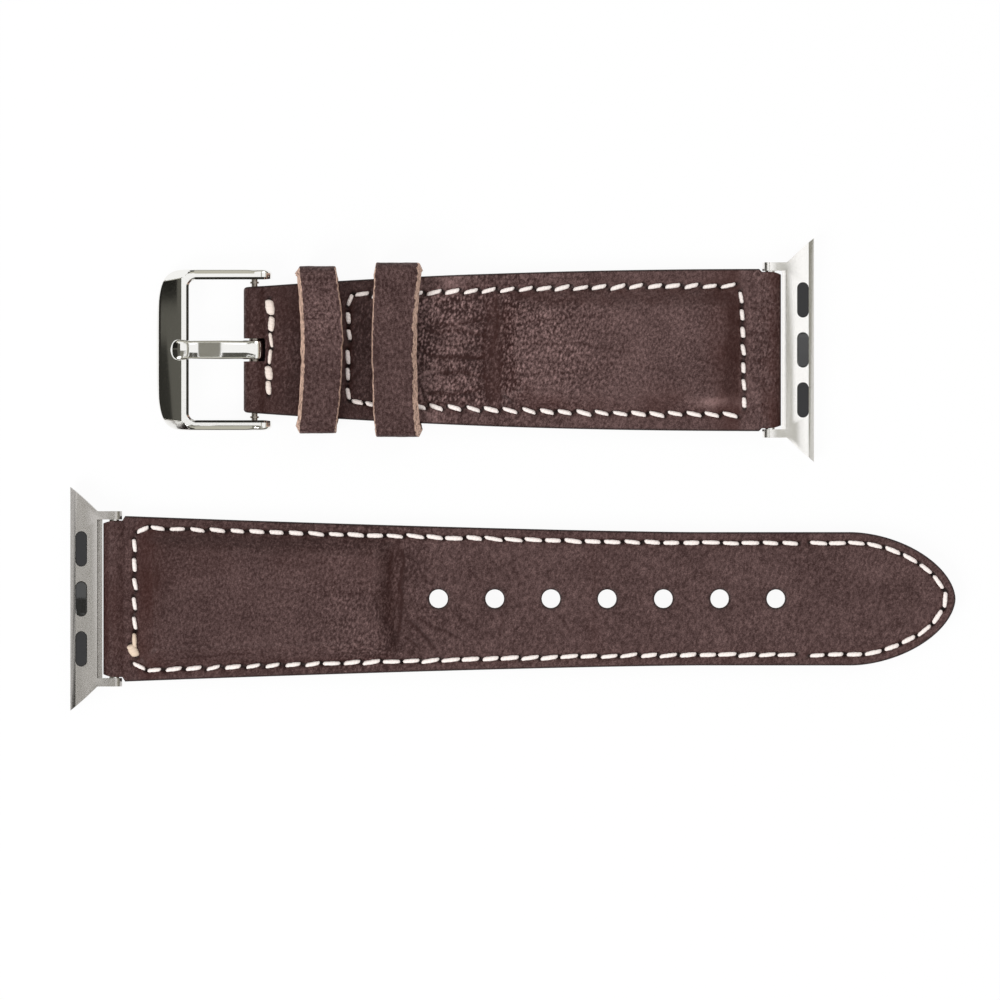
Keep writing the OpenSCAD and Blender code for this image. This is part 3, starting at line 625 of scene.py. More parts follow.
def make(name, points, faces, finish, slot, sharp=40, merge=False, **layers):
    """A mesh object at the origin: used points only, smooth faces with sharp edges kept. Points
    that lie on each other, such as a pole's, may be merged."""
    used, faces = np.unique(np.asarray(faces), return_inverse=True)
    faces = faces.reshape(-1, 4) if faces.ndim == 1 else faces
    mesh = bpy.data.meshes.new(name)
    solid = [list(dict.fromkeys(f)) for f in faces.tolist()]
    mesh.from_pydata(points[used].tolist(), [], [f for f in solid if len(f) > 2])
    mesh.update()
    for key, values in layers.items():
        give(mesh, key, np.asarray(values)[used])
    mesh.shade_smooth()
    mesh.set_sharp_from_angle(angle=math.radians(sharp))
    mesh.materials.append(stuff(finish))
    if merge:
        reshape(mesh, 2e-7)
    obj = placed(name, mesh)
    return obj


# Materials

class Shader:
    """A node material, or the world, under construction."""

    def __init__(self, block):
        block.use_nodes = True
        self.block, self.tree = block, block.node_tree

    def put(self, socket, value):
        """Link a socket to another node's output, or set its constant."""
        if isinstance(value, bpy.types.NodeSocket):
            self.tree.links.new(value, socket)
        else:
            socket.default_value = value

    def node(self, kind, inputs=None, **settings):
        made = self.tree.nodes.new(kind)
        for key, value in settings.items():
            setattr(made, key, value)
        for key, value in (inputs or {}).items():
            self.put(made.inputs[key], value)
        return made

    def layer(self, name, vector=False):
        made = self.node("ShaderNodeAttribute", attribute_name=name)
        return made.outputs["Vector" if vector else "Fac"]

    def place(self, source, scale, turn=0.0):
        return self.node("ShaderNodeMapping", {"Vector": source, "Rotation": (0.0, 0.0, turn),
                                               "Scale": scale}).outputs[0]

    def noise(self, vector, scale, detail=2.0, roughness=0.5):
        return self.node("ShaderNodeTexNoise", {"Vector": vector, "Scale": scale, "Detail": detail,
                                                "Roughness": roughness}).outputs["Fac"]

    def math(self, operation, a, b=0.0, clamped=False):
        return self.node("ShaderNodeMath", {0: a, 1: b}, operation=operation,
                         use_clamp=clamped).outputs[0]

    def add(self, a, b, clamped=False):
        return self.math("ADD", a, b, clamped)

    def times(self, a, b, clamped=False):
        return self.math("MULTIPLY", a, b, clamped)

    def span(self, value, low, high, out_low=0.0, out_high=1.0):
        return self.node("ShaderNodeMapRange", {"Value": value, "From Min": low, "From Max": high,
                                                "To Min": out_low, "To Max": out_high}).outputs[0]

    def spread(self, value, low, high):
        """The middle range of a noise, carried from low to high."""
        return self.span(value, 0.3, 0.7, low, high)

    def mix(self, factor, a, b):
        made = self.node("ShaderNodeMix", data_type="RGBA")
        for number, value in ((0, factor), (6, a), (7, b)):
            self.put(made.inputs[number], value)
        return made.outputs[2]

    def brown(self, *parts):
        """Leather colour: the parts and the tone layer, summed and carried by a power curve from
        the dark end to the light one."""
        light, *others = parts
        for part in others:
            light = self.add(light, part)
        light = self.math("POWER", self.add(light, self.layer("tone"), True), 1.55)
        return self.mix(light, paint("leather_dark"), paint("leather_light"))

    def bump(self, height, strength, distance):
        return self.node("ShaderNodeBump", {"Height": height, "Strength": strength,
                                            "Distance": distance * MM}).outputs[0]

    def seen_directly(self):
        """1 for camera, glossy and transmission rays."""
        rays = self.node("ShaderNodeLightPath").outputs
        seen = self.math("MAXIMUM", rays["Is Camera Ray"], rays["Is Glossy Ray"])
        return self.math("MAXIMUM", seen, rays["Is Transmission Ray"])

    def show(self, made):
        """Make a node the material's surface."""
        self.put(self.tree.nodes["Material Output"].inputs["Surface"], made.outputs[0])

    def finish(self, kind="Principled BSDF", **inputs):
        """Fill the sockets of the shader that the block comes with."""
        surface = self.tree.nodes[kind]
        for key, value in inputs.items():
            self.put(surface.inputs[key.replace("_", " ")], value)
        return surface


def material(name):
    return Shader(bpy.data.materials.new(name))


def top_leather(name):
    """Top leather: brown speckled with paler grain tops between furrows, the tops partly a painted
    highlight; burnished where worn, with painted shade in folds, grooves and needle holes; painted
    on its edge, with pebbles and pores as bump."""
    s = material(name)
    at = s.layer("rest", True)
    pebble = s.layer("pebble")
    leaning = s.place(s.place(at, (1.0, 1.0, 1.0), 0.3), (1.25, 0.8, 1.0))
    speck = s.noise(leaning, 2.4, 1.0, 0.6)
    fine = s.noise(at, 8.0, 2.0, 0.7)
    cloud = s.noise(at, 0.2, 3.0, 0.6)
    cells = s.node("ShaderNodeTexVoronoi", {"Vector": leaning, "Scale": 2.0}).outputs["Distance"]
    # The pebbles' paler tops: grain colour, partly a painted highlight.
    tops = s.span(cells, 0.12, 0.6, 0.5, -0.5)
    gain = s.add(0.2, s.times(pebble, 0.5))
    base = s.brown(s.times(s.spread(speck, -0.6, 0.6), gain), s.spread(fine, -0.24, 0.24),
                   s.times(s.times(tops, pebble), 0.62), s.spread(cloud, -0.07, 0.07))
    # Burnish where rubbed or bent, and painted shade in folds, grooves, the valley and between the
    # keepers.
    base = s.mix(s.times(s.layer("wear"), 0.8, True), base, paint("burnish"))
    # Painted shade in the needle holes, the strap holes and the slot floor.
    base = s.mix(s.layer("pit"), base, paint("shade"))
    base = s.mix(s.layer("edge"), base, paint("edge_paint"))
    height = s.times(s.add(s.times(tops, 0.8), speck), gain)
    height = s.add(height, s.times(fine, 0.3))
    s.finish(Base_Color=base, Roughness=s.spread(speck, 0.6, 0.42),
             Normal=s.bump(height, 0.9, size("grain")), Specular_IOR_Level=0.2)


def keeper_leather(name):
    """Keeper leather: speckled brown with pores, and pale fibres on its cut edges."""
    s = material(name)
    at = s.layer("rest", True)
    speck = s.noise(s.place(at, (1.1, 0.8, 1.0)), 2.3, 2.0, 0.65)
    fine = s.noise(at, 8.0, 2.0, 0.7)
    cloud = s.noise(at, 0.3, 4.0, 0.65)
    base = s.brown(s.times(s.spread(speck, -0.6, 0.6), s.layer("pebble")),
                   s.spread(cloud, -0.12, 0.12), s.spread(fine, -0.24, 0.24))
    fibre = s.noise(s.place(at, (2.0, 0.7, 3.0)), 2.2, 4.0, 0.8)
    raw = s.mix(s.span(fibre, 0.36, 0.56), paint("burnish"), paint("raw_edge"))
    fray = s.add(s.layer("raw"), s.spread(fibre, -0.4, 0.4))
    base = s.mix(s.span(fray, 0.3, 0.55), base, raw)
    height = s.add(speck, s.times(fibre, s.layer("raw")))
    s.finish(Base_Color=base, Roughness=s.spread(speck, 0.68, 0.5),
             Normal=s.bump(height, 0.8, size("grain")), Specular_IOR_Level=0.2)


def lining_leather(name):
    """Lining leather: smooth, with fine pores and faint rubbed, paler patches."""
    s = material(name)
    at = s.layer("rest", True)
    pores = s.noise(at, 6.0, 3.0, 0.6)
    cloud = s.noise(at, 0.22, 3.0, 0.6)
    base = s.mix(s.spread(cloud, 0.0, 0.55), paint("lining"), paint("leather_light"))
    base = s.mix(s.span(pores, 0.55, 0.72, 0.0, 0.35), base, paint("shade"))
    base = s.mix(s.layer("edge"), base, paint("edge_paint"))
    s.finish(Base_Color=base, Roughness=s.spread(pores, 0.55, 0.7),
             Normal=s.bump(pores, 0.5, 0.03), Specular_IOR_Level=0.35)


def cream_thread(name):
    """Waxed twisted thread: faint slanted bands along and round each stitch, and tan fibres."""
    s = material(name)
    lay = s.layer("lay", True)
    along, turn, tint = s.node("ShaderNodeSeparateXYZ", {0: lay}).outputs
    band = s.math("SINE", s.times(s.add(s.times(along, 1.9), turn), 2 * math.pi))
    fuzz = s.noise(s.place(lay, (2.0, 5.0, 1.0)), 2.6, 3.0, 0.6)
    tan = (*srgb(222, 196, 168), 1)
    base = s.mix(tint, paint("thread"), tan)
    base = s.mix(s.span(band, -1.0, -0.2, 0.14, 0.0), base, (*srgb(176, 148, 134), 1))
    base = s.mix(s.span(fuzz, 0.52, 0.75, 0.0, 0.2), base, tan)
    height = s.add(s.times(band, 0.4), fuzz)
    s.finish(Base_Color=base, Roughness=0.65, Normal=s.bump(height, 0.5, 0.05),
             Specular_IOR_Level=0.3)


def scaled(tint, factor):
    return (*(factor * c for c in tint[:3]), 1)


def metal(name, tint, low, high, along, bump):
    """Metal with fine marks: roughness and height varied by stretched noise, per metre."""
    s = material(name)
    at = s.node("ShaderNodeTexCoord").outputs["Object"]
    marks = s.noise(s.place(at, along), 1.0, 3.0, 0.6)
    base = s.mix(s.span(marks, 0.35, 0.65, 0.0, 0.1), tint, scaled(tint, 0.72))
    s.finish(Base_Color=base, Metallic=1.0, Roughness=s.spread(marks, low, high),
             Normal=s.bump(marks, bump, 0.01))


def rubber(name, tint, low, high, specular):
    """Dark rubber: matte with a fine pitted surface, or glossy."""
    s = material(name)
    at = s.node("ShaderNodeTexCoord").outputs["Object"]
    grain = s.noise(at, 7000.0, 2.0, 0.5)
    base = s.mix(s.span(grain, 0.35, 0.65, 0.0, 0.5), tint, scaled(tint, 2.2))
    s.finish(Base_Color=base, Roughness=s.spread(grain, low, high),
             Normal=s.bump(grain, 0.2, 0.02), Specular_IOR_Level=specular)


def stuff(name):
    """The material of a finish, made when it is first asked for."""
    if name not in bpy.data.materials:
        even, brushed = (9000, 9000, 9000), (12000, 3000, 12000)
        kind, *values = {
            "top leather": (top_leather,),
            "keeper leather": (keeper_leather,),
            "lining leather": (lining_leather,),
            "cream thread": (cream_thread,),
            "polished steel": (metal, paint("steel"), 0.04, 0.1, even, 0.03),
            "dull steel": (metal, (*srgb(158, 150, 142), 1), 0.2, 0.35, even, 0.1),
            # One satin steel in two copies: darker for the long half's adapter, painted shade;
            # lighter for the short half's, painted light.
            "satin steel": (metal, paint("satin"), 0.2, 0.34, brushed, 0.2),
            "bright satin steel": (metal, paint("bright"), 0.16, 0.26, brushed, 0.1),
            "matt rubber": (rubber, paint("rubber"), 0.6, 0.8, 0.5),
            "gloss rubber": (rubber, (0.0012, 0.0012, 0.0014, 1), 0.08, 0.14, 1.0),
        }[name]
        kind(name, *values)
    return bpy.data.materials[name]


# Leather pieces

def fold_path(flap, skip=0):
    """The turned end about a pin at u = 0: outer u and height, inner u and height, from the
    underside. The outer path runs along the flap, round the pin and onto the top, which is left
    as not a number; the inner one is the flap's upper face and the bore."""
    arc = np.linspace(0, math.pi, 30)
    lead = np.linspace(FLAT_U, 0, 5)[:-1]
    tail = np.linspace(0, FLAT_U, 5)[1:]
    turn = np.radians(np.linspace(-40, -395, 38))
    round_pin = [np.concatenate([lead, -ROLL_R * np.sin(arc), tail]),
                 np.concatenate([0 * lead, ROLL_R * (1 - np.cos(arc)), np.nan + tail]),
                 BORE_R * np.cos(turn), ROLL_R + BORE_R * np.sin(turn)]
    along = [flap, 0 * flap, flap, 0 * flap + LINING_T - 0.02]
    return np.concatenate([along, np.array(round_pin)[:, skip:]], 1)


APART = 200              # keeps one piece's pattern from repeating on the next


def short_wear_and_light(u, y, pad, mottle, ragged, seed):
    """Burnish and tone of the short half's top leather, with painted sheen, highlights and shade.
    """
    # Burnish, with painted shade in the valley where the padding ends.
    wear = (0.42 * bell(u - 38.2 + 0.7 * ragged, 1.2) * ease((9 - abs(y)) / 3)
            + 0.8 * ease((1.3 + 0.8 * ragged - u) / 1.9) * (0.3 + 0.7 * mottle)
            + 0.95 * bell(u - 5.2, 2.6 + ragged) * ease((u - 3.9) / 0.6) * (0.6 + 0.4 * mottle)
            + 0.8 * bell(y - 6.3 + ragged, 1.4) * ease((37 - u) / 3) * ease((u - 10) / 4) * mottle
            + 0.4 * bell(y + 7.2 + ragged, 0.8) * ease((37 - u) / 3) * ease((u - 5) / 3)
            # Burnish and painted shade between and under the keepers.
            + 0.55 * ease((u - 57) / 2) * mottle)
    patches = rough(u, 1.5 * y, 2.6, seed, 2)
    # Lighter where the padding rises, most around u 32: painted sheen.
    tone = (0.38 + 0.08 * ease((u - 9) / 12) * pad + 0.1 * bell(u - 32, 4.5) * pad
            # Darker from u 52, where the strap runs between and under the keepers: painted shade.
            - 0.16 * ease((u - 52) / 4)
            # A lighter band along the padding's edge at y 7.3 near the lug end: painted highlight.
            + 0.55 * bell(y - 7.3 + 0.25 * ragged, 0.75) * bell(u - 7.2, 3.2)
            # A little lighter near the lug end, and darker in the valley where the padding ends:
            # painted shade.
            + 0.06 * bell(u - 2.4, 1.6) - 0.1 * bell(u - 38.3, 1.2)
            # Lighter in random patches across the crease: painted highlights on the pebble
            # clusters.
            + ease((u - 39.6) / 1.5) * ease((51 - u) / 3) * (0.12 + 0.15 * patches))
    return wear, tone


def long_wear_and_light(u, y, pad, mottle, ragged):
    """Burnish and tone of the long half's top leather, with painted sheen, highlight and shade."""
    # Burnish, with painted shade in the valley where the padding ends.
    wear = (0.24 * bell(u - 38.8 + ragged, 1.5) * ease((8.2 - abs(y - 2)) / 4)
            + 0.4 * ease((3 - u) / 3) * mottle
            + 0.6 * bell(u - 4.6, 1.9) * ease((u - 3) / 0.8) * (0.4 + 0.6 * mottle)
            + 0.25 * bell(u - 66.5, 1.2) * mottle
            + 0.2 * pad * ease((y + 2) / 5 - 0.2) * mottle)
    # Lighter where the padding rises: painted sheen.
    tone = (0.28 + 0.08 * ease((u - 9) / 20) * pad + 0.06 * ease((u - 41) / 4)
            # A lighter patch on the padding at y -5.6: painted highlight; a faint lift at the step.
            + 0.05 * bell(y + 5.6, 2) * bell(u - 36, 3) + 0.01 * bell(u - 39.2, 1.4))
    return wear, tone


def leather_layers(half, u, y, z):
    """Where the leather is light, burnished, pitted or painted, with painted sheen and shade."""
    seed, pad, fold = half.seed, pad_form(half, u, y), folds(half, u, y)
    # Needle holes, darkened: painted shade.
    pit = 0.92 * pits(half, u, y, 0.3)
    mottle = 0.5 + 0.5 * rough(u, y, 5, seed + 40, 2)
    ragged = 0.8 * lattice(u, y, 2.1, seed + 41) + 0.4 * lattice(u, y, 0.9, seed + 42)
    # Folds are darkened in tone, more on the long half: painted shade in the creases.
    if half.short:
        wear, tone = short_wear_and_light(u, y, pad, mottle, ragged, seed + 50)
        tone = tone - 1.7 * fold
    else:
        wear, tone = long_wear_and_light(u, y, pad, mottle, ragged)
        tone = tone - 3.2 * fold
        # The strap holes too, darkest on their walls: painted shade.
        pit = np.maximum(pit, hole_edge(u, y, 0.17))
    # Folds, and the stitch groove where the padding is low, also get the burnish: wear and painted
    # shade in the creases and the groove.
    wear = wear + 2.0 * fold + 0.25 * (1 - pad) * bell(half.stitch_gap(u, y), 0.7)
    return {"rest": flat_place(u + APART * half.short, y, z, UPPER_T),
            "pit": two_sheets(clamp(pit), 0), "wear": two_sheets(clamp(wear), 0),
            "tone": two_sheets(tone, 0.3), "pebble": two_sheets(grained(half, u, y), 0.2),
            "edge": two_sheets(ease((0.34 - half.margin(u, y)) / 0.3), 1)}


def turned_over(flap):
    """The turned end at the short half's bar: the path about the bar, told from the lug pin."""
    path = fold_path(flap, 1)
    path[[0, 2]] = BAR_U - path[[0, 2]]
    path[[1, 3]] += STEP_UP
    return path[:, ::-1]


def upper_piece(half, number, u0, u1, reach):
    """A length of top leather: two sheets over one grid, turned round the pin at its end."""
    step = size("grid_step")
    first, last, tip = u0 <= 0, half.short and u1 > BAR_U, u1 == TIP_U
    line = line_along(half, u0, SLOT_U if last else u1, step, 36, 76)
    if first:
        line = np.concatenate([[TOP_U], line[line > 0.75]])
    if last:
        line = np.concatenate([line, np.linspace(SLOT_U, BAR_U - TOP_U, 7)[1:]])
    path = np.array([line, np.nan * line, line, LINING_T + half.rise(line) + 0.01])
    if first:
        path = np.concatenate([fold_path(np.linspace(FLAP, FLAT_U, 13)[:-1]), path], 1)
    if last:
        to_slot = BAR_U - SLOT_U
        flap = [np.linspace(FLAP, to_slot, 11)[:-1], np.linspace(to_slot, FLAT_U, 4)[:-1]]
        path = np.concatenate([path, turned_over(np.concatenate(flap))], 1)
    outer_u, outer_z, inner_u, inner_z = path
    u, y, s = grid_over(half, outer_u, step, reach, tip)
    flat = np.isnan(outer_z)[:, None]
    inner_u, keep = inner_u[:, None] + 0 * u, None
    if not (half.short or tip):
        keep = ~hole_mask(u, y)
        u, y = round_holes(u, y)
        inner_u = np.where(u > FLAP, u, inner_u)
    if last:
        past = (outer_u[:-1] + outer_u[1:]) / 2 > SLOT_U
        keep = ~(past[:, None] & (abs((s[:-1] + s[1:]) / 2) < SLOT_HALF))
        arch = 0.12 * np.sqrt(clamp(1 - (y / SLOT_HALF) ** 2)) * ease(1 - abs(u - SLOT_U) / 0.9)
        arch = np.where(abs(inner_u - SLOT_U) < 2.2, arch, 0)
        u = u - arch
        inner_u = inner_u - np.where(flat | (inner_u < SLOT_U + 0.01), arch, 0)
    turned = np.nan_to_num(outer_z)[:, None] + 0.02 * rough(u * 2, y, 2.5, half.seed + 60)
    z = np.maximum(np.where(flat, top(half, u, y), turned), 0.0)
    points, faces = slab(half.world(u, y, z), half.world(inner_u, y, inner_z[:, None]), keep)
    return make(f"{half.name}_top_leather_{number}", points, faces, "top leather", "leather",
                merge=tip, **leather_layers(half, u, y, z))


def lining_piece(half, number, u0, u1, reach):
    """A length of lining: a thin slab a hair narrower than the top leather, grooved underneath
    for the stitches."""
    step, gap, tip = 0.433, FLAP + 0.08, u1 == TIP_U
    line = line_along(half, gap if u0 <= 0 else u0,
                      BAR_U - gap if half.short and u1 > BAR_U else u1, step, 20, 46)
    u, y, _ = grid_over(half, line, step, reach, tip)
    keep = None
    if not (half.short or tip):
        keep = ~hole_mask(u, y)
        u, y = round_holes(u, y)
    m = half.margin(u, y)
    y_in = y - np.sign(y) * (0.06 * ease(1 - m / 0.4)) * (0.2 if tip else 1)
    low = half.rise(u) + 0.3 * bell(half.stitch_gap(u, y), 0.6) * half.sewn(u)
    low = low + 0.16 * rounding(m / 0.3) + 0.012 * (1 + rough(u, y, 1.4, half.seed + 70))
    high = half.rise(u) + LINING_T - 0.005
    points, faces = slab(half.world(u, y_in, high), half.world(u, y_in, low), keep)
    return make(f"{half.name}_lining_leather_{number}", points, faces, "lining leather", "lining",
                merge=tip, rest=flat_place(u + 2 * APART, y, 0, 1),
                edge=np.tile(ease((0.3 - m) / 0.25).ravel(), 2))


def slot_floor():
    """Thin leather left under the tongue slot behind the bar: a flat slab between its walls."""
    u, y = np.meshgrid(np.linspace(69.0, 71.4, 13), np.linspace(-1.75, 1.75, 13), indexing="ij")
    z = STEP_UP + 0.02 + 0 * u
    points, faces = slab(SHORT.world(u, y, z + 0.2), SHORT.world(u, y, z))
    layers = leather_layers(SHORT, u, y, z)
    # The whole floor is darkened with the needle-hole brown: painted shade in the slot.
    layers["pit"] = np.full(2 * u.size, 0.55)
    floor = make("short_slot_floor", points, faces, "top leather", "leather", **layers)
    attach(floor, "short_end")


# Piece limits along each half, the half width of its grid, and where the piece bends; and a
# body named for each piece
LONG.cuts = [(-1.5, 48.9, 10.6, 36.1, 46.1), (48.9, 64.5, 9.6, 51.7, 61.7),
             (64.5, 80.1, 9.3, 67.3, 77.3), (80.1, 95.7, 9.25, 82.9, 92.9),
             (95.7, TIP_U, 9.25, 98.5, 108.5)]
LONG.bodies = ["long_pad"] + [f"long_part_{k}" for k in range(2, 7)]
SHORT.cuts = [(-1.5, 40.7, 11.1, 36.1, 40.7), (40.7, 73.0, 10.0, 40.7, 45.3)]
SHORT.bodies = ["short_pad", "short_crease", "short_end"]


def fit(obj, half, kind, number):
    """Bake a piece's place into its mesh, in place of its CAD nodes, which are hidden: the last
    piece stands for two."""
    start, end = (half.world(u, 0.0, 1.0).tolist() for u in half.cuts[number][3:])
    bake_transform(obj)
    nodes = number + 1, number + 2
    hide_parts(*[f"{half.name}_{kind}_{k}" for k in nodes[:1 + (nodes[0] == len(half.cuts))]])


def build_leather(half):
    for number, (u0, u1, reach, _, _) in enumerate(half.cuts):
        piece = upper_piece(half, number, u0, u1, reach)
        fit(piece, half, "upper", number)
        if number == 0:
            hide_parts(f"{half.name}_filler")
        fit(lining_piece(half, number, u0, u1, reach), half, "lining", number)


# Stitching

def ring_faces(a):
    """Faces between rings of points that each close on themselves, from the points' numbers."""
    b = np.roll(a, -1, -1)
    quads = [a[..., :-1, :], a[..., 1:, :], b[..., 1:, :], b[..., :-1, :]]
    return np.stack(quads, -1).reshape(-1, 4)


def stitch_mesh(half, rows, under):
    """Each stitch is a bar of twisted thread: rings of an ellipse along its length, nearly even and
    closed at both ends, sheared the way it slants, dipping into its needle holes."""
    rings, sides = 11, 10
    centre_u, centre_y, angle, long, thick, tint = rows.T[..., None, None]
    t = -np.cos(np.linspace(0, math.pi, rings))[:, None]
    around = np.linspace(0, 2 * math.pi, sides, endpoint=False)
    swell = (1 - abs(t) ** 6) ** 0.5 * (1 + 0.07 * np.sin(7 * t + 1))
    y = size("thread_w") / 2 * thick * swell * np.cos(around)
    shear = np.where(abs(angle) < 0.5, np.tanh(9 * angle), 0.4)
    x = (long / 2 + 0.03) * t + 0.55 * shear * y
    tall = 0.25 * (0.6 + 0.4 * thick) * swell * np.sin(around)
    u = centre_u + x * np.cos(angle) - y * np.sin(angle)
    v = centre_y + x * np.sin(angle) + y * np.cos(angle)
    dip = abs(t) ** 4
    if under:
        z = half.rise(u) + 0.16 + 0.1 * dip + 0.5 * tall
    else:
        z = quiet_top(half, u, v) - 0.26 * dip + tall
    faces = ring_faces(np.arange(u.size).reshape(u.shape))[:, ::-1]
    lay = np.broadcast_arrays(x + centre_u, around / (2 * math.pi), tint)
    return half.world(u, v, z).reshape(-1, 3), faces, np.stack(lay, -1).reshape(-1, 3)


def build_stitching(half):
    """The stitches of each length of leather, above and below. The tack row shows above only."""
    for number, (u0, u1, _, _, _) in enumerate(half.cuts):
        at = half.stitches[:, 0]
        mine = half.stitches[(at >= u0) & (at < u1)]
        low = mine[(mine[:, 0] < TACK_U) | (not half.short)]
        p, f, lay = stitch_mesh(half, mine, False)
        q, g, lay_low = stitch_mesh(half, low, True)
        obj = make(f"{half.name}_stitching_{number}", np.concatenate([p, q]),
                   np.concatenate([f, g + len(p)]), "cream thread", "thread", sharp=180,
                   merge=True, lay=np.concatenate([lay, lay_low]))
        fit(obj, half, "thread", number)


# Keepers

KEEPER_T = 1.1
KEEPER_CROWN = 0.3       # how far a keeper's top falls towards its sides


def ring_path(half_w, low, high, r):
    """A rounded rectangle round the strap, as y and z: straight runs and quarter circles, its top
    lowered towards the sides."""
    flat = np.linspace(-1, 1, 70)[1:-1]
    up = np.linspace(0, 1, 12)[1:-1]
    a = np.linspace(0, math.pi / 2, 14)
    side_y = np.concatenate([half_w - r + r * np.sin(a), 0 * up + half_w,
                             half_w - r + r * np.cos(a)])
    side_z = np.concatenate([low + r - r * np.cos(a), low + r + up * (high - low - 2 * r),
                             high - r + r * np.sin(a)])
    y = np.concatenate([flat * (half_w - r), side_y, -flat * (half_w - r), -side_y[::-1]])
    z = np.concatenate([0 * flat + low, side_z, 0 * flat + high, side_z[::-1]])
    return y, z - KEEPER_CROWN * ease((z - (low + high) / 2) / 1.5) * (y / half_w) ** 2


def keeper(name, body, near, far, near_slant, far_slant, half_out, low_t, high, seed, shine):
    """A closed band: two rings of the same path, spread along the strap between two bowed edges,
    the outer one narrower so that the cut edges slant. Its grain has a painted sheen on one side of
    the top: lighter and more pebbled there."""
    y_out, z_out = ring_path(half_out, 0.0, high, 1.7)
    y_in, z_in = ring_path(half_out - KEEPER_T, low_t, high - KEEPER_T, 0.6)
    s = np.concatenate([[0, 0.012, 0.03, 0.06, 0.1], np.linspace(0.15, 0.85, 18),
                        [0.9, 0.94, 0.97, 0.988, 1]])
    bow, along = (y_out / half_out) ** 2, y_out + 3 * z_out
    wave = 0.09 * rough(along, 0 * y_out, 1.6, seed) + 0.03 * rough(y_out, z_out, 0.3, seed + 1)
    wave_2 = 0.09 * rough(along, 0 * y_out + 9, 1.6, seed + 2)
    a, b = near[0] + near[1] * bow + wave, far[0] + far[1] * bow + wave_2
    a_out, b_out = a + near_slant * (0.75 + 2 * wave), b - far_slant * (0.75 + 2 * wave_2)
    u_out = a_out[:, None] + (b_out - a_out)[:, None] * s
    u_in = a[:, None] + (b - a)[:, None] * s
    way = np.stack([y_out, z_out - (low_t + high) / 2], -1)
    normal = np.stack([np.gradient(z_out), -np.gradient(y_out)], -1)
    normal = normal / np.linalg.norm(normal, axis=1)[:, None]
    normal = normal * np.sign((normal * way).sum(1))[:, None]
    to_edge, girth = np.minimum(s, 1 - s), (y_out + z_out)[:, None]
    dent = 0.16 * rounding(to_edge / 0.035) + 0.03 * (1 + rough(u_out * 1.2, girth, 2.2, seed + 5))
    dent = dent + 0.01 * (1 + rough(u_out, girth, 0.5, seed + 7, 2))
    yo, zo = (c[:, None] - normal[:, k:k + 1] * dent for k, c in enumerate((y_out, z_out)))
    points, faces = slab(SHORT.world(u_out, yo, zo)[::-1],
                         SHORT.world(u_in, y_in[:, None], z_in[:, None])[::-1], closed=True)
    around = np.cumsum(np.hypot(np.gradient(y_out), np.gradient(z_out)))[::-1][:, None]
    # One side of the top is lighter and more pebbled: painted sheen.
    raw, painted_sheen = 1 - clamp(to_edge / 0.02) + 0 * u_out, shine * bell(yo[::-1] + 5, 4.5)
    obj = make(name, points, faces, "keeper leather", "keeper_leather",
               rest=flat_place(u_out[::-1], around, 0, -1.2), raw=two_sheets(raw, 1),
               tone=two_sheets(0.28 + 0.12 * painted_sheen, 0.3),
               pebble=two_sheets(0.38 + 0.3 * painted_sheen, 0.3))
    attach(obj, body)
    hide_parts(name.replace("_loop", ""))


# Buckle, in its own x (forward from the spring bar), y and height above the bar

EAR_X, EAR_R = -1.0, 1.35    # the ears round the bar: where the arms end and their radius
ARM_OUT, ARM_IN = 11.15, 9.75
EYE_OUT, EYE_IN = 1.2, 0.81  # radii of the tongue's eye


def buckle_points(x, y, z):
    x, y, z = np.broadcast_arrays(x, y, z)
    return np.stack([BUCKLE[0] - x, BUCKLE[1] - y, BUCKLE[2] + z], -1) * MM


def mirrored(line):
    """A line of points and its mirror image, joined at its last point."""
    return np.concatenate([line, line[-2::-1] * [1, -1]])


def frame_edges():
    """The frame's outer and inner outline from one ear round the front bar to the other: straight
    arms, a superellipse of the fourth power outside, and an inner corner arc. Inner points are
    spaced so that the two corners face each other."""
    ear = EAR_X - EAR_R * np.cos(np.linspace(0, math.pi / 2, 12))
    arm = np.linspace(0, 1, 40)[1:]
    turn = np.linspace(0, math.pi / 2, 61)[1:]
    arc = np.linspace(0, math.pi / 2, 30)
    ends = 1.0 - np.sqrt(clamp(1 - ((ear - EAR_X) / 1.38) ** 2))
    bow = np.stack([8.5 + 5.1 * np.sin(turn) ** 0.5, ARM_OUT * np.cos(turn).clip(0) ** 0.5], -1)
    path = np.stack([np.append(8.1 + np.sin(arc), 9.1), np.append(8.75 + np.cos(arc), 0)], -1)
    run_out, run_in = run_along(bow), run_along(path)
    at = np.interp(run_out, [0, run_out[29], run_out[-1]], [0.03, math.pi / 4, run_in[-1]])
    outer, inner = (
        np.concatenate([np.stack([ear, side + fall * ends], -1),
                        np.stack([EAR_X + arm * far, 0 * arm + side], -1), front])
        for side, fall, far, front in ((ARM_OUT, -0.55, 9.5, bow),
                                       (ARM_IN, 0.2, 9.1, on_line(path, at))))
    return mirrored(outer), mirrored(inner)


def ear_height(x):
    return np.sqrt(np.maximum(EAR_R ** 2 - (np.minimum(x, EAR_X) - EAR_X) ** 2, 0))


def buckle_top(x, y):
    """Height of the frame's top: round ears, slightly falling arms, a flat lip, and the lowest of
    three planes outside it: the slope down to the front, the arms' bevel and the corner's bevel."""
    lip = np.interp(x, [EAR_X, 8.7], [EAR_R, 0.95])
    ahead = np.maximum(x - 10.1, 0)
    front = 0.4 * ahead + 0.023 * ahead ** 2 + 0.35 * np.maximum(x - 12.75, 0) ** 2
    fall = np.maximum(front, 0.62 * (x - 9.9) + 0.95 * (abs(y) - 10.1))
    fall = np.maximum(fall, 0.55 * (abs(y) - 10.55))
    slope = lip - np.maximum(fall, 0) * ease((x - EAR_X) / 1.5)
    return np.where(x < EAR_X, ear_height(x), slope)


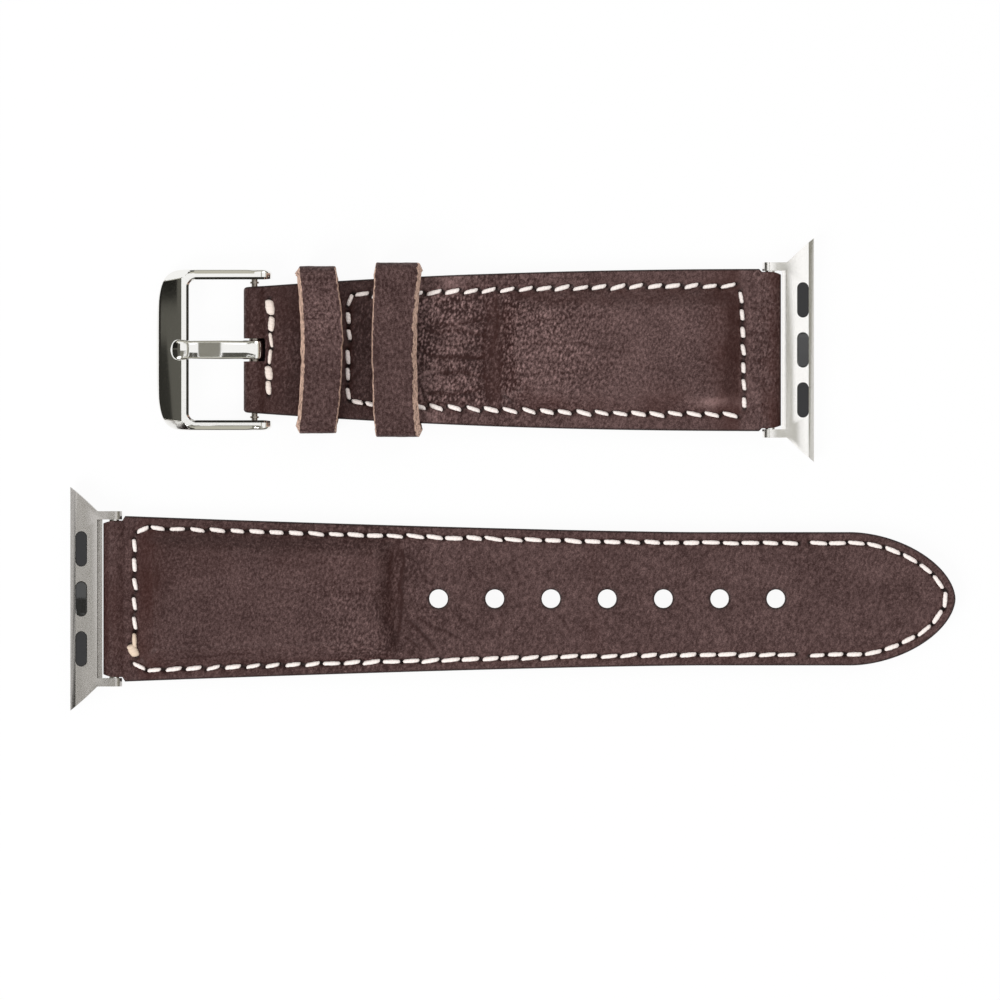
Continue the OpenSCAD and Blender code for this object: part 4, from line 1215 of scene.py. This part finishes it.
def buckle_bottom(x):
    z = np.interp(x, [EAR_X, 8.9, 9.6, 13.0, 13.6], [-EAR_R, -1.95, -2.45, -2.45, -1.9])
    return np.where(x < EAR_X, -ear_height(x), z)


def buckle_frame():
    """A grid between the outlines, top and bottom: a bevel inside, the lip, the slopes outside it,
    and an outer edge rounded by a quarter circle."""
    outer, inner = frame_edges()
    wide = np.linalg.norm(outer - inner, axis=1)[:, None]
    r_out = np.minimum(np.interp(outer[:, :1], [-1, 1], [0.5, 0.16]), 0.36 * wide)
    bevel = np.minimum(0.34, 0.24 * wide)
    lip = np.minimum(np.interp(inner[:, :1], [7.5, 9.1], [0.8, 1.0]), 0.57 * wide)
    step = np.linspace(0, 1, 7)
    back = np.concatenate([bevel * step, bevel + (lip - bevel) * step[1:],
                           lip + (wide - r_out - lip) * np.linspace(0, 1, 28)[1:],
                           wide - r_out * (1 - np.sin(math.pi / 2 * step[1:]))], 1)[:, ::-1]
    d = wide - back
    t = (d / wide)[..., None]
    x, y = np.moveaxis(outer[:, None] * (1 - t) + inner[:, None] * t, -1, 0)
    drop = r_out - np.sqrt(np.maximum(r_out ** 2 - (r_out - np.minimum(d, r_out)) ** 2, 0))
    drop = drop + 0.78 * np.maximum(bevel - back, 0)
    high, low = buckle_top(x, y), buckle_bottom(x)
    drop = np.minimum(drop, (high - low) * 0.45)
    points, faces = slab(buckle_points(x, y, high - drop), buckle_points(x, y, low + drop * 0.6))
    obj = make("buckle_frame_polished", points, faces[:, ::-1], "polished steel", "steel",
               sharp=30, merge=True)
    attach(obj, "buckle")
    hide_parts("buckle_frame")


def buckle_tongue():
    """The tongue: rounded sections carried from its eye round the bar, along its length and over
    the lip to a flared, rounded point that bends down."""
    sides = 28
    eye = np.radians(np.linspace(-50, -270, 40))
    body = np.concatenate([np.linspace(0.15, 8.4, 36), np.linspace(8.6, 11.0, 22),
                           11.6 - 0.6 * (1 - np.sin(np.linspace(0, math.pi / 2, 14)))[1:]])
    soft = np.linspace(-0.45, 0.45, 9) * ease((11 - body) / 2)[:, None]
    back = np.interp(body[:, None] + soft, [-1, 0, 4.4, 8.1, 8.9, 10.1, 10.6, 11.3, 11.6],
                     [1.1, 1.2, 1.64, 1.82, 1.97, 1.97, 1.84, 1.42, 1.12]).mean(1)
    belly = np.interp(body, [0, 0.6, 1.1, 8.6, 10.2, 10.7, 11.6],
                      [0.81, 0.62, 0.36, 1.0, 1.0, 0.86, 0.62])
    up_x, up_z, low_x, low_z = (
        np.concatenate([r * turn(eye), rest])[:, None]
        for r, turn, rest in ((EYE_OUT, np.cos, body), (EYE_OUT, np.sin, back),
                              (EYE_IN, np.cos, body), (EYE_IN, np.sin, belly)))
    wide = np.interp(up_x, [-1.2, 0.2, 4.5, 8.0, 8.8, 9.6, 10.5],
                     [2.56, 2.56, 2.7, 2.6, 2.56, 2.72, 2.9])
    wide = wide * np.sqrt(np.maximum(1 - clamp((up_x - 10.55) / 1.06) ** 2.2, 0)) / 2
    around = np.linspace(0, 2 * math.pi, sides, endpoint=False)
    c, s = np.cos(around), np.sin(around)
    c, s = np.sign(c) * abs(c) ** 0.8, np.sign(s) * abs(s) ** 0.85
    points = buckle_points((up_x + low_x) / 2 + (up_x - low_x) / 2 * s, wide * c,
                           (up_z + low_z) / 2 + (up_z - low_z) / 2 * s).reshape(-1, 3)
    index = np.arange(len(points)).reshape(-1, sides)
    cap = np.full(sides, len(points))
    start = np.stack([index[0], np.roll(index[0], -1), cap, cap], -1)
    obj = make("buckle_tongue_polished", np.concatenate([points, points[:sides].mean(0)[None]]),
               np.concatenate([ring_faces(index), start]), "polished steel", "steel", sharp=50,
               merge=True)
    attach(obj, "tongue")
    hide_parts("buckle_tongue")


# Adapters and small parts

def cad_copy(node, name, body, finish, edit):
    """A merged copy of a CAD node, changed by a function and given a finish."""
    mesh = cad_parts[node].data.copy()
    mesh.name = name
    reshape(mesh, 1e-6, edit)
    mesh.materials.clear()
    mesh.materials.append(stuff(finish))
    mesh.shade_smooth()
    obj = placed(name, mesh)
    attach(obj, body)
    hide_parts(node)
    return obj


def softened(node, name, body, finish, width):
    """A copy of a CAD node with its edges broken by a bevel."""
    def flatten(shape):
        bmesh.ops.dissolve_limit(shape, angle_limit=math.radians(1), verts=shape.verts,
                                 edges=shape.edges)

    obj, sharp = cad_copy(node, name, body, finish, flatten), math.radians(35)
    obj.data.set_sharp_from_angle(angle=sharp)
    bevel = obj.modifiers.new("Broken edges", "BEVEL")
    bevel.width = width * MM
    bevel.segments = 3
    bevel.limit_method = "ANGLE"
    bevel.angle_limit = sharp
    bevel.harden_normals = True


def coil(node, name, body, axis, fixed, side=0):
    """A copy of a CAD coil, or of one side of it, cut off across its axis.

    fixed is where along the coil a side is cut off: 0 at its low end, 0.5 at its middle.
    """
    points = np.array([vertex.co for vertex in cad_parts[node].data.vertices])
    low, high, axis = points.min(0), points.max(0), np.array(axis, float)
    anchor = low + (high - low) * (0.5 + (fixed - 0.5) * axis)

    def halve(shape):
        everything = shape.verts[:] + shape.edges[:] + shape.faces[:]
        cut = bmesh.ops.bisect_plane(shape, geom=everything, plane_co=anchor, plane_no=axis,
                                     clear_inner=side > 0, clear_outer=side < 0)
        rim = [part for part in cut["geom_cut"] if isinstance(part, bmesh.types.BMEdge)]
        bmesh.ops.holes_fill(shape, edges=rim)

    obj = cad_copy(node, name, body, "polished steel", halve if side else None)
    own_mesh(obj)


def dress(node, finish):
    """Give a CAD node its own finish."""
    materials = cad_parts[node].data.materials
    for k in range(len(materials)):
        materials[k] = stuff(finish)
    if not materials:
        materials.append(stuff(finish))


# Operators

class STRAP_OT_stage(Operator):
    """Make the floor, the lights and the camera"""

    bl_idname = "strap.stage"
    bl_label = "Stage"

    def execute(self, context):
        scene = context.scene
        scene.view_settings.view_transform = "Standard"
        build_stage(scene)
        return {"FINISHED"}


class STRAP_OT_leather(Operator):
    """Build the top leather and lining of both halves"""

    bl_idname = "strap.leather"
    bl_label = "Leather"

    def execute(self, context):
        for half in (LONG, SHORT):
            build_leather(half)
        slot_floor()
        return {"FINISHED"}


class STRAP_OT_stitching(Operator):
    """Sew both halves"""

    bl_idname = "strap.stitching"
    bl_label = "Stitching"

    def execute(self, context):
        for half in (LONG, SHORT):
            build_stitching(half)
        return {"FINISHED"}


class STRAP_OT_keepers(Operator):
    """Build the fixed and the free keeper"""

    bl_idname = "strap.keepers"
    bl_label = "Keepers"

    def execute(self, context):
        keeper("fixed_keeper_loop", "short_end", (59.2, 1.0), (65.0, 0.75), 0.12, 0.62,
               11.6, STEP_UP, 6.95, 71, 1.0)
        keeper("free_keeper_loop", "free_keeper", (49.0, -0.75), (55.2, -0.45), 0.75, 0.15,
               12.1, 0.9, 6.9, 83, 0.25)
        return {"FINISHED"}


class STRAP_OT_buckle(Operator):
    """Build the buckle frame, its tongue and the spring bar's finish"""

    bl_idname = "strap.buckle"
    bl_label = "Buckle"

    def execute(self, context):
        buckle_frame()
        buckle_tongue()
        for node in ("spring_bar_tube", "spring_bar_tip_left", "spring_bar_tip_right"):
            dress(node, "dull steel")
        for hand, side in (("left", -1), ("right", 1)):
            coil("spring_bar_spring", f"spring_bar_coil_{hand}", "short_end",
                 (0, 1, 0), 0.5, side)
        return {"FINISHED"}


class STRAP_OT_adapters(Operator):
    """Finish both lug adapters with their pads, buttons and screws"""

    bl_idname = "strap.adapters"
    bl_label = "Adapters"

    def execute(self, context):
        for half in ("long", "short"):
            body = f"{half}_adapter"
            # The long half's adapter gets the darker copy and the short half's the lighter: painted
            # shade and painted light.
            finish = "satin steel" if half == "long" else "bright satin steel"
            softened(f"{half}_lug_adapter", f"{half}_adapter_rail", body, finish,
                     size("metal_bevel"))
            softened(f"{half}_lug_pads", f"{half}_adapter_pads", body, "matt rubber",
                     0.12)
            softened(f"{half}_lug_button", f"{half}_adapter_button", f"{half}_button",
                     "gloss rubber", 0.12)
            coil(f"{half}_lug_button_spring", f"{half}_adapter_coil", body,
                 (0, 0, 1), 0.0)
            for node in ("tube", "screws"):
                dress(f"{half}_lug_{node}", "polished steel")
            dress(f"{half}_lug_button_cover", finish)
        return {"FINISHED"}


class STRAP_PT_panel(Panel):
    """Lists the builders, the sizes and the colours"""

    bl_idname = "STRAP_PT_panel"
    bl_label = "Leather Watch Strap"
    bl_space_type = "VIEW_3D"
    bl_region_type = "UI"
    bl_category = "Strap"

    def draw(self, context):
        column = self.layout.column(align=True)
        for kind in BUILDERS:
            column.operator(kind.bl_idname)
        for group in (context.scene.strap_sizes, context.scene.strap_colours):
            for name in group.__annotations__:
                self.layout.prop(group, name)


BUILDERS = (STRAP_OT_stage, STRAP_OT_leather, STRAP_OT_stitching, STRAP_OT_keepers, STRAP_OT_buckle,
            STRAP_OT_adapters)
CLASSES = (StrapSizes, StrapColours, *BUILDERS, STRAP_PT_panel)


# Stage, in metres

FLOOR_HALF, FLOOR_Z = 3.0, -2e-5
WALL_HALF = 1.6
CAMERA_Z = 1.2
VIEW_WIDTH = 0.1389      # how much of the floor the picture spans
SENSOR = 36


def soft_light(name, spot, wide, radiance):
    """A square soft box, aimed at the origin, whose power gives the asked brightness head-on."""
    data = bpy.data.lights.new(name, "AREA")
    data.shape = "SQUARE"
    data.size = wide
    data.energy = radiance * math.pi * wide * wide
    obj = placed(name, data)
    obj.location = spot
    obj.rotation_euler = (-Vector(spot)).to_track_quat("-Z", "Y").to_euler()


def plane(name, points, surface):
    mesh = bpy.data.meshes.new(name)
    mesh.from_pydata(points, [], [(0, 1, 2, 3)])
    mesh.materials.append(surface)
    obj = placed(name, mesh)
    return obj


def reflected_card(name, strength, points):
    """A card that only reflections see, in the card colour times a strength: four points."""
    s = material(name)
    s.show(s.node("ShaderNodeEmission", {"Color": paint("card"), "Strength": strength}))
    card = plane(name, points, s.block)
    for kind in ("camera", "diffuse", "transmission", "shadow", "volume_scatter"):
        setattr(card, f"visible_{kind}", False)


def upright(a, b, low, high):
    """The corners of an upright rectangle over the line from a to b."""
    return [(*a, low), (*b, low), (*b, high), (*a, high)]


def before_buckle(nearer, *corners):
    """Points on the slope before the buckle: how far up it, and y."""
    return [(-0.21 + 0.09 * t + nearer, y, 0.05 + 0.11 * t) for t, y in corners]


def build_stage(scene):
    """White floor that keeps a faint shadow, white world, two soft boxes, dark cards that only
    reflections see, and a long lens straight above."""
    s = Shader(bpy.data.worlds.new("studio"))
    s.finish("Background", Color=(1, 1, 1, 1),
             Strength=s.span(s.seen_directly(), 0.0, 1.0, 0.66, 1.0))
    scene.world = s.block

    s = material("plain floor")
    surface = s.finish(Base_Color=paint("floor"), Roughness=0.9, Specular_IOR_Level=0.0)
    white = s.node("ShaderNodeEmission", {"Color": (1, 1, 1, 1), "Strength": 1.0})
    s.show(s.node("ShaderNodeMixShader", {0: s.times(s.seen_directly(), 0.94),
                                          1: surface.outputs[0], 2: white.outputs[0]}))
    square = (-1, -1), (1, -1), (1, 1), (-1, 1)
    plane("floor", [(x * FLOOR_HALF, y * FLOOR_HALF, FLOOR_Z) for x, y in square], s.block)

    ring = [(x * WALL_HALF, y * WALL_HALF) for x, y in square]
    walls = {"horizon": [(0.03, 0.6, 0.5)] * 4,
             "wall": [(0.6, 0.85, 3.0), (0.6, 1.6, 8.5), (0.6, 1.6, 9.5), (0.6, 1.6, 15.0),
                      (0.85, 1.6, 9.0)]}
    for name, rows in walls.items():
        for k, (low, high, strength) in enumerate(rows):
            reflected_card(f"{name}_{k + 1}", strength,
                           upright(ring[k % 4], ring[(k + 1) % 4], low, high))
    for name, strength, z, corners in (
            ("card_over_long_half", 4.0, 0.9, [(-1, -1.2), (-0.075, -1.2), (-0.075, 0), (-1, 0)]),
            ("card_over_tongue_1", 8.0, 0.3,
             [(-0.046, -0.25), (-0.036, -0.25), (-0.036, 0.3), (-0.046, 0.3)]),
            ("card_over_tongue_2", 5.6, 0.3,
             [(-0.036, -0.25), (-0.026, -0.25), (-0.026, 0.3), (-0.036, 0.3)]),
            ("card_over_tongue_3", 4.2, 0.3,
             [(-0.026, -0.25), (-0.016, -0.25), (-0.01, 0.3), (-0.026, 0.3)]),
            ("card_below_tongue", 1.6, 0.3,
             [(-0.005, -0.3), (0.035, -0.3), (0.035, -0.02), (-0.005, -0.02)])):
        reflected_card(name, strength, [(x, y, z) for x, y in corners])
    reflected_card("card_right_of_adapters", 4.5, upright((0.1, -0.06), (0.1, 0.06), 0.0, 0.04))
    for name, strength, nearer, corners in (
            ("card_before_buckle", 1.9, 0.0, [(0, -0.07), (0, 0.09), (1, 0.09), (1, -0.07)]),
            ("black_card_1", 0.2, 0.003,
             [(-0.3, 0.027), (-0.3, 0.09), (0.52, 0.09), (0.5, 0.0275)]),
            ("black_card_2", 0.5, 0.003,
             [(-0.3, -0.07), (-0.3, 0.022), (0.37, 0.021), (0.62, -0.02)])):
        reflected_card(name, strength, before_buckle(nearer, *corners))

    soft_light("key", (-0.42, -0.38, 0.5), 0.4, 6.0)
    soft_light("fill", (0.4, 0.5, 0.7), 0.5, 1.7)

    data = bpy.data.cameras.new("camera")
    data.sensor_width = SENSOR
    data.lens = SENSOR * CAMERA_Z / VIEW_WIDTH
    data.clip_end = 20
    camera = placed("camera", data)
    camera.location = (-0.0018, -0.00355, CAMERA_Z)
    scene.camera = camera


def register():
    for kind in CLASSES:
        bpy.utils.register_class(kind)
    bpy.types.Scene.strap_sizes = PointerProperty(type=StrapSizes)
    bpy.types.Scene.strap_colours = PointerProperty(type=StrapColours)


def unregister():
    del bpy.types.Scene.strap_colours
    del bpy.types.Scene.strap_sizes
    for kind in reversed(CLASSES):
        bpy.utils.unregister_class(kind)


def main():
    register()
    bpy.ops.strap.stage()
    bpy.ops.strap.leather()
    bpy.ops.strap.stitching()
    bpy.ops.strap.keepers()
    bpy.ops.strap.buckle()
    bpy.ops.strap.adapters()


if __name__ == "__main__":
    main()
